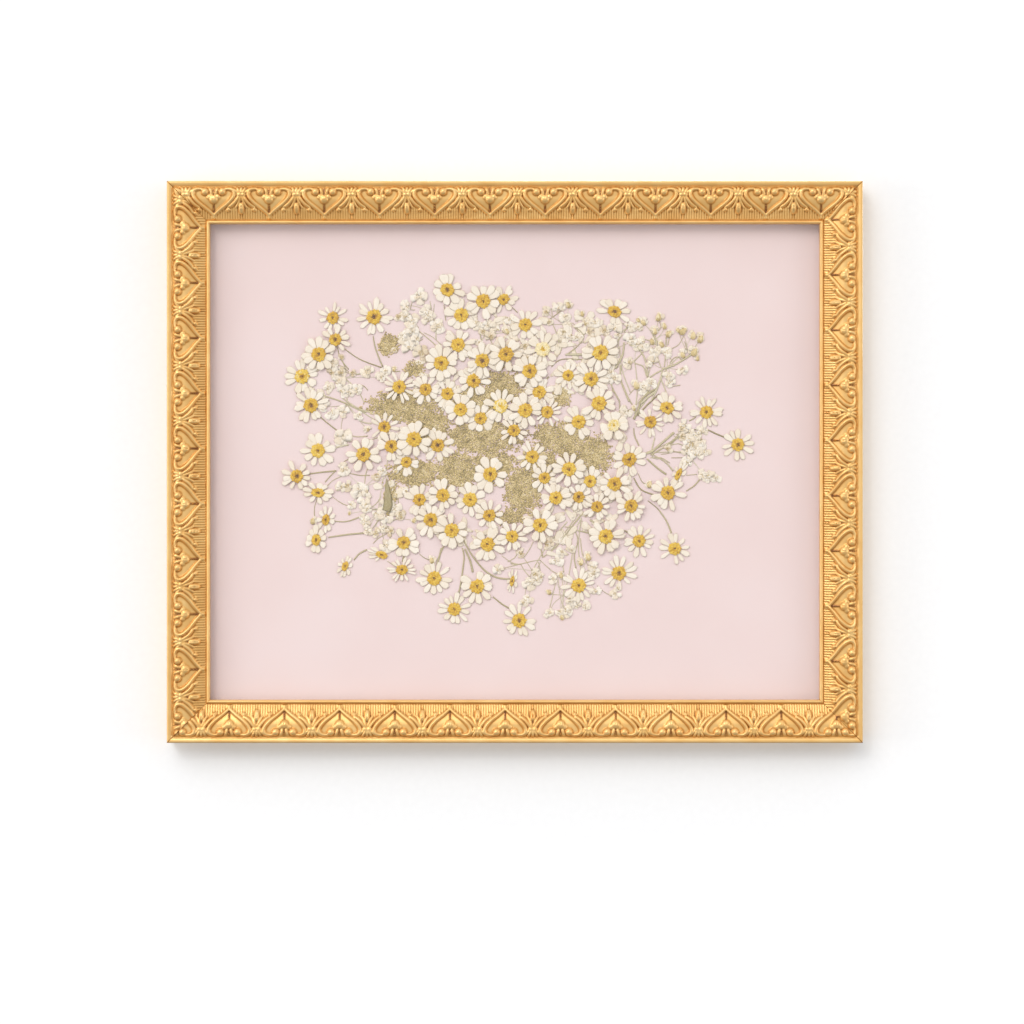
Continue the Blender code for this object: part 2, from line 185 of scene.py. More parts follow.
def from_mould(field, s, u):
    """Reads a field of the mould at distances s from a heart's middle line and u inward."""
    fold = np.abs((s + HALF_PITCH) % PITCH - HALF_PITCH)
    x = np.clip(fold / MOULD_STEP, 0, field.shape[0] - 1.001)
    y = np.clip((u - mould_in[0]) / MOULD_STEP, 0, field.shape[1] - 1.001)
    i, j = x.astype(int), y.astype(int)
    fx, fy = x - i, y - j
    low = field[i, j] * (1 - fx) + field[i + 1, j] * fx
    high = field[i, j + 1] * (1 - fx) + field[i + 1, j + 1] * fx
    return low * (1 - fy) + high * fy


def section_rows():
    """Places round the whole section, fine on the face and few on the hidden sides."""
    smooth = through(FACE, 8)
    steps = np.hypot(*np.diff(smooth, axis=0).T)
    run = np.concatenate([[0], np.cumsum(steps)])
    count = int(run[-1] / (0.37))
    even = np.linspace(0, run[-1], count)
    face = np.column_stack([np.interp(even, run, smooth[:, k]) for k in (0, 1)])
    hidden = [(SECTION_WIDTH, LEDGE), (RABBET_WALL, LEDGE), (RABBET_WALL, 0.0), (12.0, 0.0)]
    return np.array([(0.0, 0.0), (0.0, 7.0), *face, *hidden, (0.0, 0.0)])


def deselect():
    bpy.ops.object.select_all(action="DESELECT")


def hexed(code):
    """An sRGB hex colour as linear values."""
    parts = [int(code[k : k + 2], 16) / 255 for k in (0, 2, 4)]
    return (*[c / 12.92 if c <= 0.04045 else ((c + 0.055) / 1.055) ** 2.4 for c in parts], 1.0)


def add(material, kind, inputs=(), **settings):
    """Adds a node; inputs maps a socket to a value or to another node's socket."""
    node = material.node_tree.nodes.new(kind)
    for key, value in settings.items():
        setattr(node, key, value)
    for key, value in dict(inputs).items():
        if isinstance(value, bpy.types.NodeSocket):
            material.node_tree.links.new(value, node.inputs[key])
        else:
            node.inputs[key].default_value = value
    return node


def finish_of(name, roughness=0.5):
    """A new material, and its shader."""
    made = bpy.data.materials.new(name)
    made.use_nodes = True
    shader = made.node_tree.nodes["Principled BSDF"]
    shader.inputs["Roughness"].default_value = roughness
    return made, shader


def ramp(material, fac, stops):
    """A colour ramp from (position, hex) stops."""
    node = add(material, "ShaderNodeValToRGB", {"Fac": fac})
    marks = node.color_ramp.elements
    while len(marks) < len(stops):
        marks.new(0.5)
    for mark, (place, code) in zip(marks, stops):
        mark.position = place
        mark.color = hexed(code)
    return node.outputs["Color"]


def link(material, source, target):
    material.node_tree.links.new(source, target)


def noise(material, where, scale, detail):
    """Fractal noise, about 0 to 1."""
    sockets = {"Vector": where, "Scale": scale, "Detail": detail}
    return add(material, "ShaderNodeTexNoise", sockets).outputs["Fac"]


def maths(material, operation, *values):
    """One sum on sockets or numbers."""
    return add(material, "ShaderNodeMath", dict(enumerate(values)), operation=operation).outputs[0]


def spanned(material, value, **ends):
    """The value with its range moved; from_min and the like name the ends that aren't 0 or 1."""
    sockets = {key.replace("_", " ").title(): end for key, end in ends.items()}
    return add(material, "ShaderNodeMapRange", {"Value": value, **sockets}).outputs["Result"]


def colour(material, shader, fac, stops):
    link(material, ramp(material, fac, stops), shader.inputs["Base Color"])


def roughen(material, shader, height, strength, distance):
    """Bumps the surface; distance is in metres."""
    sockets = {"Height": height, "Strength": strength, "Distance": distance}
    link(material, add(material, "ShaderNodeBump", sockets).outputs["Normal"], shader.inputs["Normal"])


def object_place(material):
    return add(material, "ShaderNodeTexCoord").outputs["Object"]


# Bronze-powder gilding over cast composition, rubbed bright on the crests. The hollows are darkened
# brown: partly a warm brown toning wash settled there, partly painted shade where shade falls in them.
gilding, shader = finish_of("bronze_powder_gilding")
where = object_place(gilding)
toning_and_shade = add(gilding, "ShaderNodeAttribute", attribute_name="wash_and_shade").outputs["Fac"]
clouds = noise(gilding, where, 90.0, 4.0)
speckle = noise(gilding, where, 1400.0, 2.0)
tone_and_shade = maths(gilding, "MULTIPLY", clouds, 0.35)
tone_and_shade = maths(gilding, "ADD", toning_and_shade, tone_and_shade)
leaf = ramp(gilding, tone_and_shade, ((0.05, "F3CC88"), (0.3, "E6B062"), (0.58, "C2863E"), (0.95, "7E4D1E")))
link(gilding, leaf, shader.inputs["Base Color"])
gloss = spanned(gilding, speckle, to_min=0.3, to_max=0.46)
link(gilding, gloss, shader.inputs["Roughness"])
roughen(gilding, shader, speckle, 0.25, 0.0001)
shader.inputs["Metallic"].default_value = 0.6
shader.inputs["Coat Weight"].default_value = 0.3
shader.inputs["Coat Roughness"].default_value = 0.2

# The moulding's back and rabbet: bare pine, planed
pine, shader = finish_of("bare_planed_pine", 0.75)
where = add(pine, "ShaderNodeAttribute", attribute_name="run").outputs["Vector"]
stretched = add(pine, "ShaderNodeMapping", {"Vector": where, "Scale": (0.06, 1.0, 1.0)})
rings = noise(pine, stretched.outputs[0], 420.0, 5.0)
colour(pine, shader, rings, ((0.3, "C9A26C"), (0.55, "DDBD8B"), (0.75, "E6CB9E")))

# The rails, and how far along each a heart lies from its middle, in millimetres
RAILS = {"top": -14.2, "bottom": -5.5, "left": 7.6, "right": 12.2}
rows = section_rows()
for side, heart in RAILS.items():
    low, high = (np.array(corner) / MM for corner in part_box(f"rail_{side}"))
    level = side in ("top", "bottom")
    axis = 0 if level else 2
    first, last = cad_box[0][axis] / MM, cad_box[1][axis] / MM
    length, middle = last - first, (first + last) / 2
    columns = int(length / (0.41))
    deselect()
    bpy.ops.mesh.primitive_grid_add(x_subdivisions=columns, y_subdivisions=len(rows) - 1, size=1)
    rail = bpy.context.object
    rail.name = rail.data.name = f"gilt_rail_{side}"
    flat = np.empty(len(rail.data.vertices) * 3)
    rail.data.vertices.foreach_get("co", flat)
    flat = flat.reshape(-1, 3) + 0.5
    row = np.rint(flat[:, 1] * (len(rows) - 1)).astype(int)
    u, h = rows[row, 0].copy(), rows[row, 1].copy()
    s = (flat[:, 0] - 0.5) * (length - 2 * u)
    on_face = (h > LEDGE + 1) & (u > ORNAMENT_FROM) & (u < ORNAMENT_TO)
    edges = np.clip((u - ORNAMENT_FROM) / 0.4, 0, 1) * np.clip((ORNAMENT_TO - u) / 0.4, 0, 1)
    h = h + np.where(on_face, from_mould(mould, s - heart, u) * edges, 0)
    lines = {"top": (0, high[2] - u), "bottom": (0, low[2] + u),
             "left": (low[0] + u, 0), "right": (high[0] - u, 0)}
    x, z = lines[side]
    if level:
        x = middle + s
    else:
        z = middle + s
    places = np.column_stack([x, WOOD_BACK - h, z]) * MM
    rail.data.vertices.foreach_set("co", places.ravel())
    deep = rail.data.attributes.new("wash_and_shade", "FLOAT", "POINT")
    # Painted shade: dark lines along the groove at the outer foot of the ornament and along the groove
    # inside the sight lip, where shade falls.
    outer_groove_shade = np.clip(1 - np.abs(u - 3.7) / 0.5, 0, 1) * 0.35
    groove_shade = outer_groove_shade + np.clip(1 - np.abs(u - 22.2) / 0.45, 0, 1) * 0.45
    shown = np.where(on_face, from_mould(wash_and_shade, s - heart, u), 0.0)
    mitre_line = np.clip(0.95 - u / 30, 0, 1) * np.clip(1 - (length / 2 - u - np.abs(s)) / 0.45, 0, 1)
    shown = np.maximum(shown, mitre_line)
    deep.data.foreach_set("value", np.where(h > LEDGE + 1, np.maximum(shown, groove_shade), 0.0))
    # Along, in and up the length of wood, for its grain
    run = rail.data.attributes.new("run", "FLOAT_VECTOR", "POINT")
    run.data.foreach_set("vector", (np.column_stack([s + 900 * axis, u, h]) * MM).ravel())
    bpy.ops.object.mode_set(mode="EDIT")
    bpy.ops.mesh.select_all(action="SELECT")
    bpy.ops.mesh.remove_doubles(threshold=0.00001)
    bpy.ops.mesh.select_all(action="DESELECT")
    bpy.ops.mesh.select_mode(type="EDGE")
    bpy.ops.mesh.select_non_manifold()
    bpy.ops.mesh.fill_holes(sides=0)
    bpy.ops.mesh.select_all(action="SELECT")
    bpy.ops.mesh.normals_make_consistent(inside=False)
    bpy.ops.object.mode_set(mode="OBJECT")
    bpy.ops.object.shade_smooth_by_angle(angle=math.radians(75))
    rail.data.materials.append(gilding)
    rail.data.materials.append(pine)
    middles = np.empty(len(rail.data.polygons) * 3)
    rail.data.polygons.foreach_get("center", middles)
    middles = middles.reshape(-1, 3) / MM
    inward = {"top": high[2] - middles[:, 2], "bottom": middles[:, 2] - low[2],
              "left": middles[:, 0] - low[0], "right": high[0] - middles[:, 0]}[side]
    corners = np.array([face.loop_total for face in rail.data.polygons])
    bare = (WOOD_BACK - middles[:, 1] < LEDGE + 0.05) & (inward > 0.05) & (corners == 4)
    rail.data.polygons.foreach_set("material_index", bare.astype(np.int32))
    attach(rail, "root")
    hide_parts(f"rail_{side}")


# --- Glass --------------------------------------------------------------------------------------
# One sheet of 2 mm float glass, dropped into the rabbet from behind. It is clean and flat, so it
# shows only as a faint veil. Lamps light the flowers through it.
glass, shader = finish_of("clear_float_glass", 0.0)
shader.inputs["Base Color"].default_value = hexed("FEFEFE")
shader.inputs["IOR"].default_value = 1.5
shader.inputs["Transmission Weight"].default_value = 1.0
path = add(glass, "ShaderNodeLightPath")
through_glass = add(glass, "ShaderNodeBsdfTransparent", {"Color": hexed("FDFDFD")})
lit = maths(glass, "MAXIMUM", path.outputs["Is Shadow Ray"], path.outputs["Is Diffuse Ray"])
veil = add(glass, "ShaderNodeMixShader", {0: lit, 1: shader.outputs[0], 2: through_glass.outputs[0]})
link(glass, veil.outputs[0], glass.node_tree.nodes["Material Output"].inputs["Surface"])


def dress(node, material):
    """Gives a CAD piece its finish in place of the plain one."""
    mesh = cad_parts[node].data
    mesh.materials.clear()
    mesh.materials.append(material)


dress("glass_pane", glass)


# --- Card ---------------------------------------------------------------------------------------
# Pale pink mounting card, uncoated: a soft felt-side surface with faint cloudy fibres.
card, shader = finish_of("uncoated_pink_card", 0.9)
where = object_place(card)
fibres = noise(card, where, 1300.0, 3.0)
clouds = noise(card, where, 14.0, 3.0)
mixed = maths(card, "MULTIPLY", fibres, 0.45)
mixed = maths(card, "ADD", mixed, clouds)
colour(card, shader, mixed, ((0.35, "EBD3CF"), (0.72, "EED7D3"), (1.0, "F0DBD8")))
roughen(card, shader, fibres, 0.15, 0.0001)
dress("backing_card", card)


# --- Backing board ------------------------------------------------------------------------------
# 2.5 mm hardboard, smooth side out: pressed wood fibre, brown, with darker specks.
hardboard, shader = finish_of("pressed_hardboard", 0.55)
where = object_place(hardboard)
specks = noise(hardboard, where, 700.0, 6.0)
colour(hardboard, shader, specks, ((0.32, "5C3E25"), (0.5, "7A5636"), (0.7, "8B6642")))
roughen(hardboard, shader, specks, 0.2, 0.0001)
dress("backing_board", hardboard)


# --- Framer's points, V-nails, hanger and nails -------------------------------------------------
# Stamped zinc-plated steel: grey with a faint spangle and a slight blue-yellow cast. The V-nails
# are driven flush into the back of the mitres, since the dressed rails have no pockets for them.
zinc, shader = finish_of("zinc_plated_steel")
where = object_place(zinc)
spangle = add(zinc, "ShaderNodeTexVoronoi", {"Vector": where, "Scale": 900.0})
colour(zinc, shader, spangle.outputs["Distance"], ((0.0, "C9C8C2"), (0.6, "B2B2AE"), (1.0, "A3A4A3")))
shader.inputs["Metallic"].default_value = 1.0
worn = spanned(zinc, spangle.outputs["Distance"], to_min=0.28, to_max=0.42)
link(zinc, worn, shader.inputs["Roughness"])
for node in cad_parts:
    if node.startswith(("point_", "v_nail", "hanger_nail", "sawtooth")):
        dress(node, zinc)

# How far the V-nails stand out of the wood, in millimetres
NAIL_PROUD = 0.05
for node in sorted(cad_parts):
    if node.startswith("v_nail"):
        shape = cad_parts[node].data.copy()
        sunk = max(vertex.co.y for vertex in shape.vertices) - NAIL_PROUD * MM
        for vertex in shape.vertices:
            if vertex.co.y > sunk:
                vertex.co.y = (WOOD_BACK + NAIL_PROUD) * MM
        driven = bpy.data.objects.new(f"driven_{node}", shape)
        bpy.context.scene.collection.objects.link(driven)
        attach(driven, "root")
        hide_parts(node)


# --- Wall bumpers -------------------------------------------------------------------------------
# Clear polyurethane domes, stuck on; they look milky from the adhesive behind them.
bumper_gel, shader = finish_of("clear_polyurethane", 0.3)
where = object_place(bumper_gel)
milk = noise(bumper_gel, where, 300.0, 2.0)
colour(bumper_gel, shader, milk, ((0.3, "C9C6BC"), (0.7, "D8D6CE")))
for side in ("left", "right"):
    dress(f"bumper_{side}", bumper_gel)


# --- Pressed daisies ----------------------------------------------------------------------------
# Flower heads dried flat between blotters: a whorl of thin cream petals with faint veins and
# browned margins, round a low disc packed with golden florets. Each is glued down by its back.
# Heads on top or on their own are single pieces, the rest are joined by spray.
PICTURE_UP = (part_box("rail_top")[1][2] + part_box("rail_bottom")[0][2]) / 2 / MM
chance = random.Random(7)


def as_shape(model):
    """Takes a modelled object's mesh as arrays, to be copied into pieces, and removes it."""
    mesh = model.data
    points = np.empty(len(mesh.vertices) * 3)
    mesh.vertices.foreach_get("co", points)
    loops = np.empty(len(mesh.loops), np.int32)
    mesh.loops.foreach_get("vertex_index", loops)
    sizes = np.array([face.loop_total for face in mesh.polygons], np.int32)
    growth = np.zeros(len(mesh.vertices) * 3)
    if "growth" in mesh.attributes:
        mesh.attributes["growth"].data.foreach_get("vector", growth)
    bpy.data.objects.remove(model, do_unlink=True)
    return {"points": points.reshape(-1, 3), "loops": loops, "sizes": sizes,
            "growth": growth.reshape(-1, 3)}


def new_bunch():
    return {"points": [], "loops": [], "sizes": [], "growth": [], "finish": [], "count": 0}


def lay(bunch, shape, places, tones, finish):
    """Adds a copy of the shape at each place, a 4x4 matrix, with a tone from 0 to 1."""
    places = np.asarray(places, float).reshape(-1, 4, 4)
    tones = np.broadcast_to(np.asarray(tones, float), (len(places),))
    points = np.einsum("nij,pj->npi", places[:, :3, :3], shape["points"]) + places[:, None, :3, 3]
    size = len(shape["points"])
    starts = bunch["count"] + size * np.arange(len(places))
    growth = np.repeat(shape["growth"][None], len(places), 0)
    growth[:, :, 2] = tones[:, None]
    bunch["points"].append(points.reshape(-1, 3))
    bunch["growth"].append(growth.reshape(-1, 3))
    bunch["loops"].append((shape["loops"][None] + starts[:, None]).ravel())
    bunch["sizes"].append(np.tile(shape["sizes"], len(places)))
    bunch["finish"].append(np.full(len(shape["sizes"]) * len(places), finish, np.int32))
    bunch["count"] += size * len(places)


def pressed(name, bunch, finishes, node):
    """Makes one piece of a bunch, laid in the picture, in place of a CAD node."""
    flat = np.concatenate(bunch["points"])
    places = np.column_stack([flat[:, 0], WOOD_BACK - flat[:, 2], flat[:, 1] + PICTURE_UP]) * MM
    sizes = np.concatenate(bunch["sizes"])
    loops = np.concatenate(bunch["loops"]).astype(np.int32)
    mesh = bpy.data.meshes.new(name)
    mesh.vertices.add(len(places))
    mesh.vertices.foreach_set("co", places.ravel())
    mesh.loops.add(len(loops))
    mesh.loops.foreach_set("vertex_index", loops)
    mesh.polygons.add(len(sizes))
    mesh.polygons.foreach_set("loop_start", np.concatenate([[0], np.cumsum(sizes)[:-1]]).astype(np.int32))
    mesh.polygons.foreach_set("material_index", np.concatenate(bunch["finish"]))
    mesh.polygons.foreach_set("use_smooth", np.ones(len(sizes), bool))
    mesh.update(calc_edges=True)
    growth = mesh.attributes.new("growth", "FLOAT_VECTOR", "POINT")
    growth.data.foreach_set("vector", np.concatenate(bunch["growth"]).ravel())
    for finish in finishes:
        mesh.materials.append(finish)
    piece = bpy.data.objects.new(name, mesh)
    bpy.context.scene.collection.objects.link(piece)
    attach(piece, "root")
    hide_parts(node)
    return piece


def placed(across, up, height, turn=0.0, wide=1.0, long=1.0, deep=1.0, roll=0.0, pitch=0.0):
    """A place on the card; turn is anticlockwise from upwards, in radians."""
    grown = Matrix.Diagonal((wide, long, deep, 1.0))
    leant = Matrix.Rotation(pitch, 4, "X") @ Matrix.Rotation(roll, 4, "Y")
    return Matrix.Translation((across, up, height)) @ Matrix.Rotation(turn, 4, "Z") @ leant @ grown


PETAL_LONG = 7.4
PETAL_WIDE = 3.4
# The petal's half width, as a share, at places along it
PETAL_SPREAD = (
    (0, 0.32), (0.12, 0.44), (0.3, 0.68), (0.5, 0.92), (0.66, 1), (0.81, 0.93), (0.93, 0.68), (1, 0.24),
)
PETAL_ROWS = (0.0, 0.2, 0.42, 0.64, 0.83, 0.95, 1.0)


def modelled_petal(fold, curl, notch, skew):
    """One dried petal, base at the origin and tip upwards."""
    deselect()
    bpy.ops.mesh.primitive_grid_add(x_subdivisions=4, y_subdivisions=6, size=1)
    blade = bpy.context.object
    growth = blade.data.attributes.new("growth", "FLOAT_VECTOR", "POINT")
    for vertex, grown in zip(blade.data.vertices, growth.data):
        across = vertex.co.x * 2
        across = math.copysign(0.68, across) if 0.2 < abs(across) < 0.8 else across
        along = PETAL_ROWS[round((vertex.co.y + 0.5) * 6)]
        half = np.interp(along, *zip(*PETAL_SPREAD)) * PETAL_WIDE / 2
        dip = 0.06 * across**2 * (along > 0.9) + notch * (abs(across) < 0.3) * (along > 0.97)
        arch = 0.07 * (1 - across**2) - 0.5 * fold * math.exp(-((across / 0.3) ** 2))
        vertex.co = (across * half + skew * math.sin(2.4 * along), (along - dip) * PETAL_LONG,
                     arch * min(1, along * 4) + curl * along**2)
        grown.vector = (across, along, 0.0)
    wall = blade.modifiers.new("wall", "SOLIDIFY")
    wall.thickness = 0.07
    wall.offset = -1.0
    bpy.ops.object.modifier_apply(modifier=wall.name)
    return as_shape(blade)


PETALS = [modelled_petal(*form) for form in (
    (0.08, 0.05, 0.0, 0.0), (0.12, 0.12, 0.045, 0.2), (0.05, -0.04, 0.0, -0.25), (0.1, 0.16, 0.08, 0.1),
    (0.14, 0.0, 0.02, -0.15), (0.06, 0.08, 0.0, 0.3))]

# One floret of the disc: a six-sided bump with a dimple, and the dome that they sit on
deselect()
bpy.ops.mesh.primitive_cylinder_add(vertices=6, radius=0.5, depth=0.4, location=(0, 0, 0.2))
bump = bpy.context.object
bpy.ops.object.transform_apply(location=True)
bpy.ops.object.mode_set(mode="EDIT")
bpy.ops.mesh.select_all(action="DESELECT")
bpy.ops.object.mode_set(mode="OBJECT")
for face in bump.data.polygons:
    face.select = face.normal.z > 0.9
bpy.ops.object.mode_set(mode="EDIT")
bpy.ops.mesh.inset(thickness=0.2, depth=0.16)
bpy.ops.object.mode_set(mode="OBJECT")
DISC_FLORET = as_shape(bump)

deselect()
bpy.ops.mesh.primitive_uv_sphere_add(segments=14, ring_count=8, radius=1.0)
cushion = bpy.context.object
for vertex in cushion.data.vertices:
    rim = math.hypot(vertex.co.x, vertex.co.y)
    vertex.co.z = max(vertex.co.z, -0.3) * (1.0 - 0.45 * math.exp(-((rim / 0.3) ** 2)))
DISC_DOME = as_shape(cushion)


DISC_SHARE = 0.355
DISC_FLORETS = 60
GOLDEN_ANGLE = 2.39996


def lay_head(bunch, across, up, height, reach, petals, breadth, ripe, squash=1.0, lean=0.0, fan=None):
    """A daisy: petals and disc. Ripe is 0 for a pale disc to 1 for a brown one, squash and lean
    tilt it away, and fan is the arc of petals that shows, in degrees anticlockwise from up."""
    first, last = fan or (0.0, 360.0)
    turn = 0.0 if fan else chance.uniform(0.0, 360.0)
    disc = reach * DISC_SHARE
    lean = math.radians(lean)
    flatten = Matrix.Diagonal((1.0, squash, 1.0, 1.0))
    tilt = Matrix.Rotation(lean, 4, "Z") @ flatten @ Matrix.Rotation(-lean, 4, "Z")
    head = Matrix.Translation((across, up, height)) @ tilt
    spacing = 2 * math.pi * 0.72 * reach * (last - first) / 360.0 / petals
    bald = chance.randrange(petals) if chance.random() < 0.35 and not fan else None
    for number in range(petals):
        if number == bald:
            continue
        share = (number + 0.5 + chance.uniform(-0.26, 0.26)) / petals
        angle = math.radians(turn + first + (last - first) * share)
        long = reach * chance.uniform(0.84, 1.08) - disc * 0.72
        wide = spacing * breadth * chance.uniform(0.68, 1.05)
        out = Matrix.Rotation(angle, 4, "Z") @ Matrix.Translation((0.0, disc * 0.72, 0.0))
        layer = (number % 2) * 0.08 + chance.uniform(0.0, 0.04)
        own = placed(0.0, 0.0, layer, chance.uniform(-0.12, 0.12), wide / PETAL_WIDE, long / PETAL_LONG, 1.0,
                     chance.uniform(-0.03, 0.03), chance.uniform(-0.01, 0.015))
        lay(bunch, chance.choice(PETALS), [head @ out @ own], chance.uniform(0.25, 1.0), 0)
    lay(bunch, DISC_DOME, [head @ placed(0, 0, 0.1, 0, disc * 0.97, disc * 0.97, 0.36)], 0.6 - 0.3 * ripe, 1)
    places, tones = [], []
    eye = chance.uniform(0.2, 0.36)
    for number in range(DISC_FLORETS):
        out = math.sqrt((number + 0.5) / DISC_FLORETS)
        angle = GOLDEN_ANGLE * number
        off = disc * out * chance.uniform(0.97, 1.04)
        size = disc * (0.13 + 0.08 * out) * chance.uniform(0.85, 1.15)
        dimple = 1 - 0.45 * math.exp(-((out / 0.3) ** 2))
        rise = 0.12 + 0.32 * math.sqrt(max(0.0, 1 - (out * 0.93) ** 2)) * dimple
        places.append(head @ placed(off * math.cos(angle), off * math.sin(angle), rise - 0.12,
                                    chance.uniform(0, 3), size * 2, size * 2, chance.uniform(0.5, 0.8)))
        dark = math.exp(-((out / eye) ** 4))
        tone = 0.66 - 0.6 * dark - 0.3 * ripe * (1 - 0.5 * out) + 0.6 * max(0.0, 0.2 - ripe)
        tones.append(min(1.0, max(0.0, tone + chance.uniform(-0.22, 0.16))))
    lay(bunch, DISC_FLORET, places, tones, 1)


def growth_of(material):
    """Across and along a part, and its tone from 0 to 1: as one socket, and split into three."""
    grown = add(material, "ShaderNodeAttribute", attribute_name="growth").outputs["Vector"]
    return grown, add(material, "ShaderNodeSeparateXYZ", {"Vector": grown}).outputs


# Dried petal: cream, thin at the margin where it browns, veined along its length
petal_skin, shader = finish_of("dried_petal", 0.62)
grown, part = growth_of(petal_skin)
side = maths(petal_skin, "ABSOLUTE", part["X"])
side = spanned(petal_skin, side, from_min=0.76, from_max=0.98)
tip = spanned(petal_skin, part["Y"], from_min=0.95, from_max=1.0)
margin = maths(petal_skin, "MAXIMUM", side, tip)
claw = spanned(petal_skin, part["Y"], from_min=0.3, from_max=0.02)
drawn = add(petal_skin, "ShaderNodeMapping", {"Vector": grown, "Scale": (5.0, 0.7, 31.0)})
veins = noise(petal_skin, drawn.outputs[0], 1.6, 3.0)
shade = maths(petal_skin, "MULTIPLY", veins, 0.5)
shade = maths(petal_skin, "MULTIPLY_ADD", part["Z"], 0.55, shade)
skin = ramp(petal_skin, shade, ((0.15, "EAD9BE"), (0.45, "F3E5D0"), (0.8, "F9EEDD")))
reach_in = maths(petal_skin, "MULTIPLY", claw, 0.55)
tinted = {"Fac": reach_in, "Color1": skin, "Color2": hexed("D9C39A")}
skin = add(petal_skin, "ShaderNodeMixRGB", tinted).outputs[0]
browned = maths(petal_skin, "MULTIPLY", margin, 0.5)
tinted = {"Fac": browned, "Color1": skin, "Color2": hexed("C9AE84")}
skin = add(petal_skin, "ShaderNodeMixRGB", tinted).outputs[0]
link(petal_skin, skin, shader.inputs["Base Color"])
shader.inputs["Specular IOR Level"].default_value = 0.3
roughen(petal_skin, shader, veins, 0.35, 0.0002)

# Disc florets: golden, brown where they are ripe
disc_gold, shader = finish_of("golden_disc_florets", 0.7)
_, part = growth_of(disc_gold)
where = object_place(disc_gold)
pollen = noise(disc_gold, where, 2600.0, 2.0)
shade = maths(disc_gold, "MULTIPLY_ADD", pollen, 0.24, part["Z"])
shade = maths(disc_gold, "ADD", shade, -0.12)
colour(disc_gold, shader, shade, (
    (0.0, "65401F"), (0.18, "A0701A"), (0.4, "D09E1E"), (0.6, "E3B72C"), (0.8, "ECC94E"), (1.0, "F5E4B6")))
roughen(disc_gold, shader, pollen, 0.4, 0.0002)

FLOWER = [petal_skin, disc_gold]
# The heads that lie on top: petals, breadth, ripeness, then squash and lean of a tilted one
TOP_HEADS = (
    (13, 0.92, 0.5), (11, 1.1, 0.55), (12, 1, 0.35), (11, 0.84, 0.8), (9, 1.05, 0.25), (10, 1.15, 0.3),
    (10, 1.1, 0.2), (12, 1, 0.2), (11, 1.1, 0.3), (12, 0.92, 0.3), (14, 0.8, 0.2), (13, 0.86, 0.4),
    (12, 0.9, 0.4), (11, 0.84, 0.3), (10, 1.12, 0.2), (9, 1.1, 0.3), (11, 1.05, 0.15), (11, 1.02, 0.75),
    (10, 0.8, 0.2), (12, 0.84, 0.2), (11, 1, 0.3, 0.82, -25), (10, 1.05, 0.5, 0.8, -25), (11, 1.1, 0.15),
    (10, 1.1, 0.2), (10, 1.05, 0.75), (11, 1.12, 0.2), (10, 1.12, 0.5), (9, 1.2, 0.25, 0.88, -30),
)
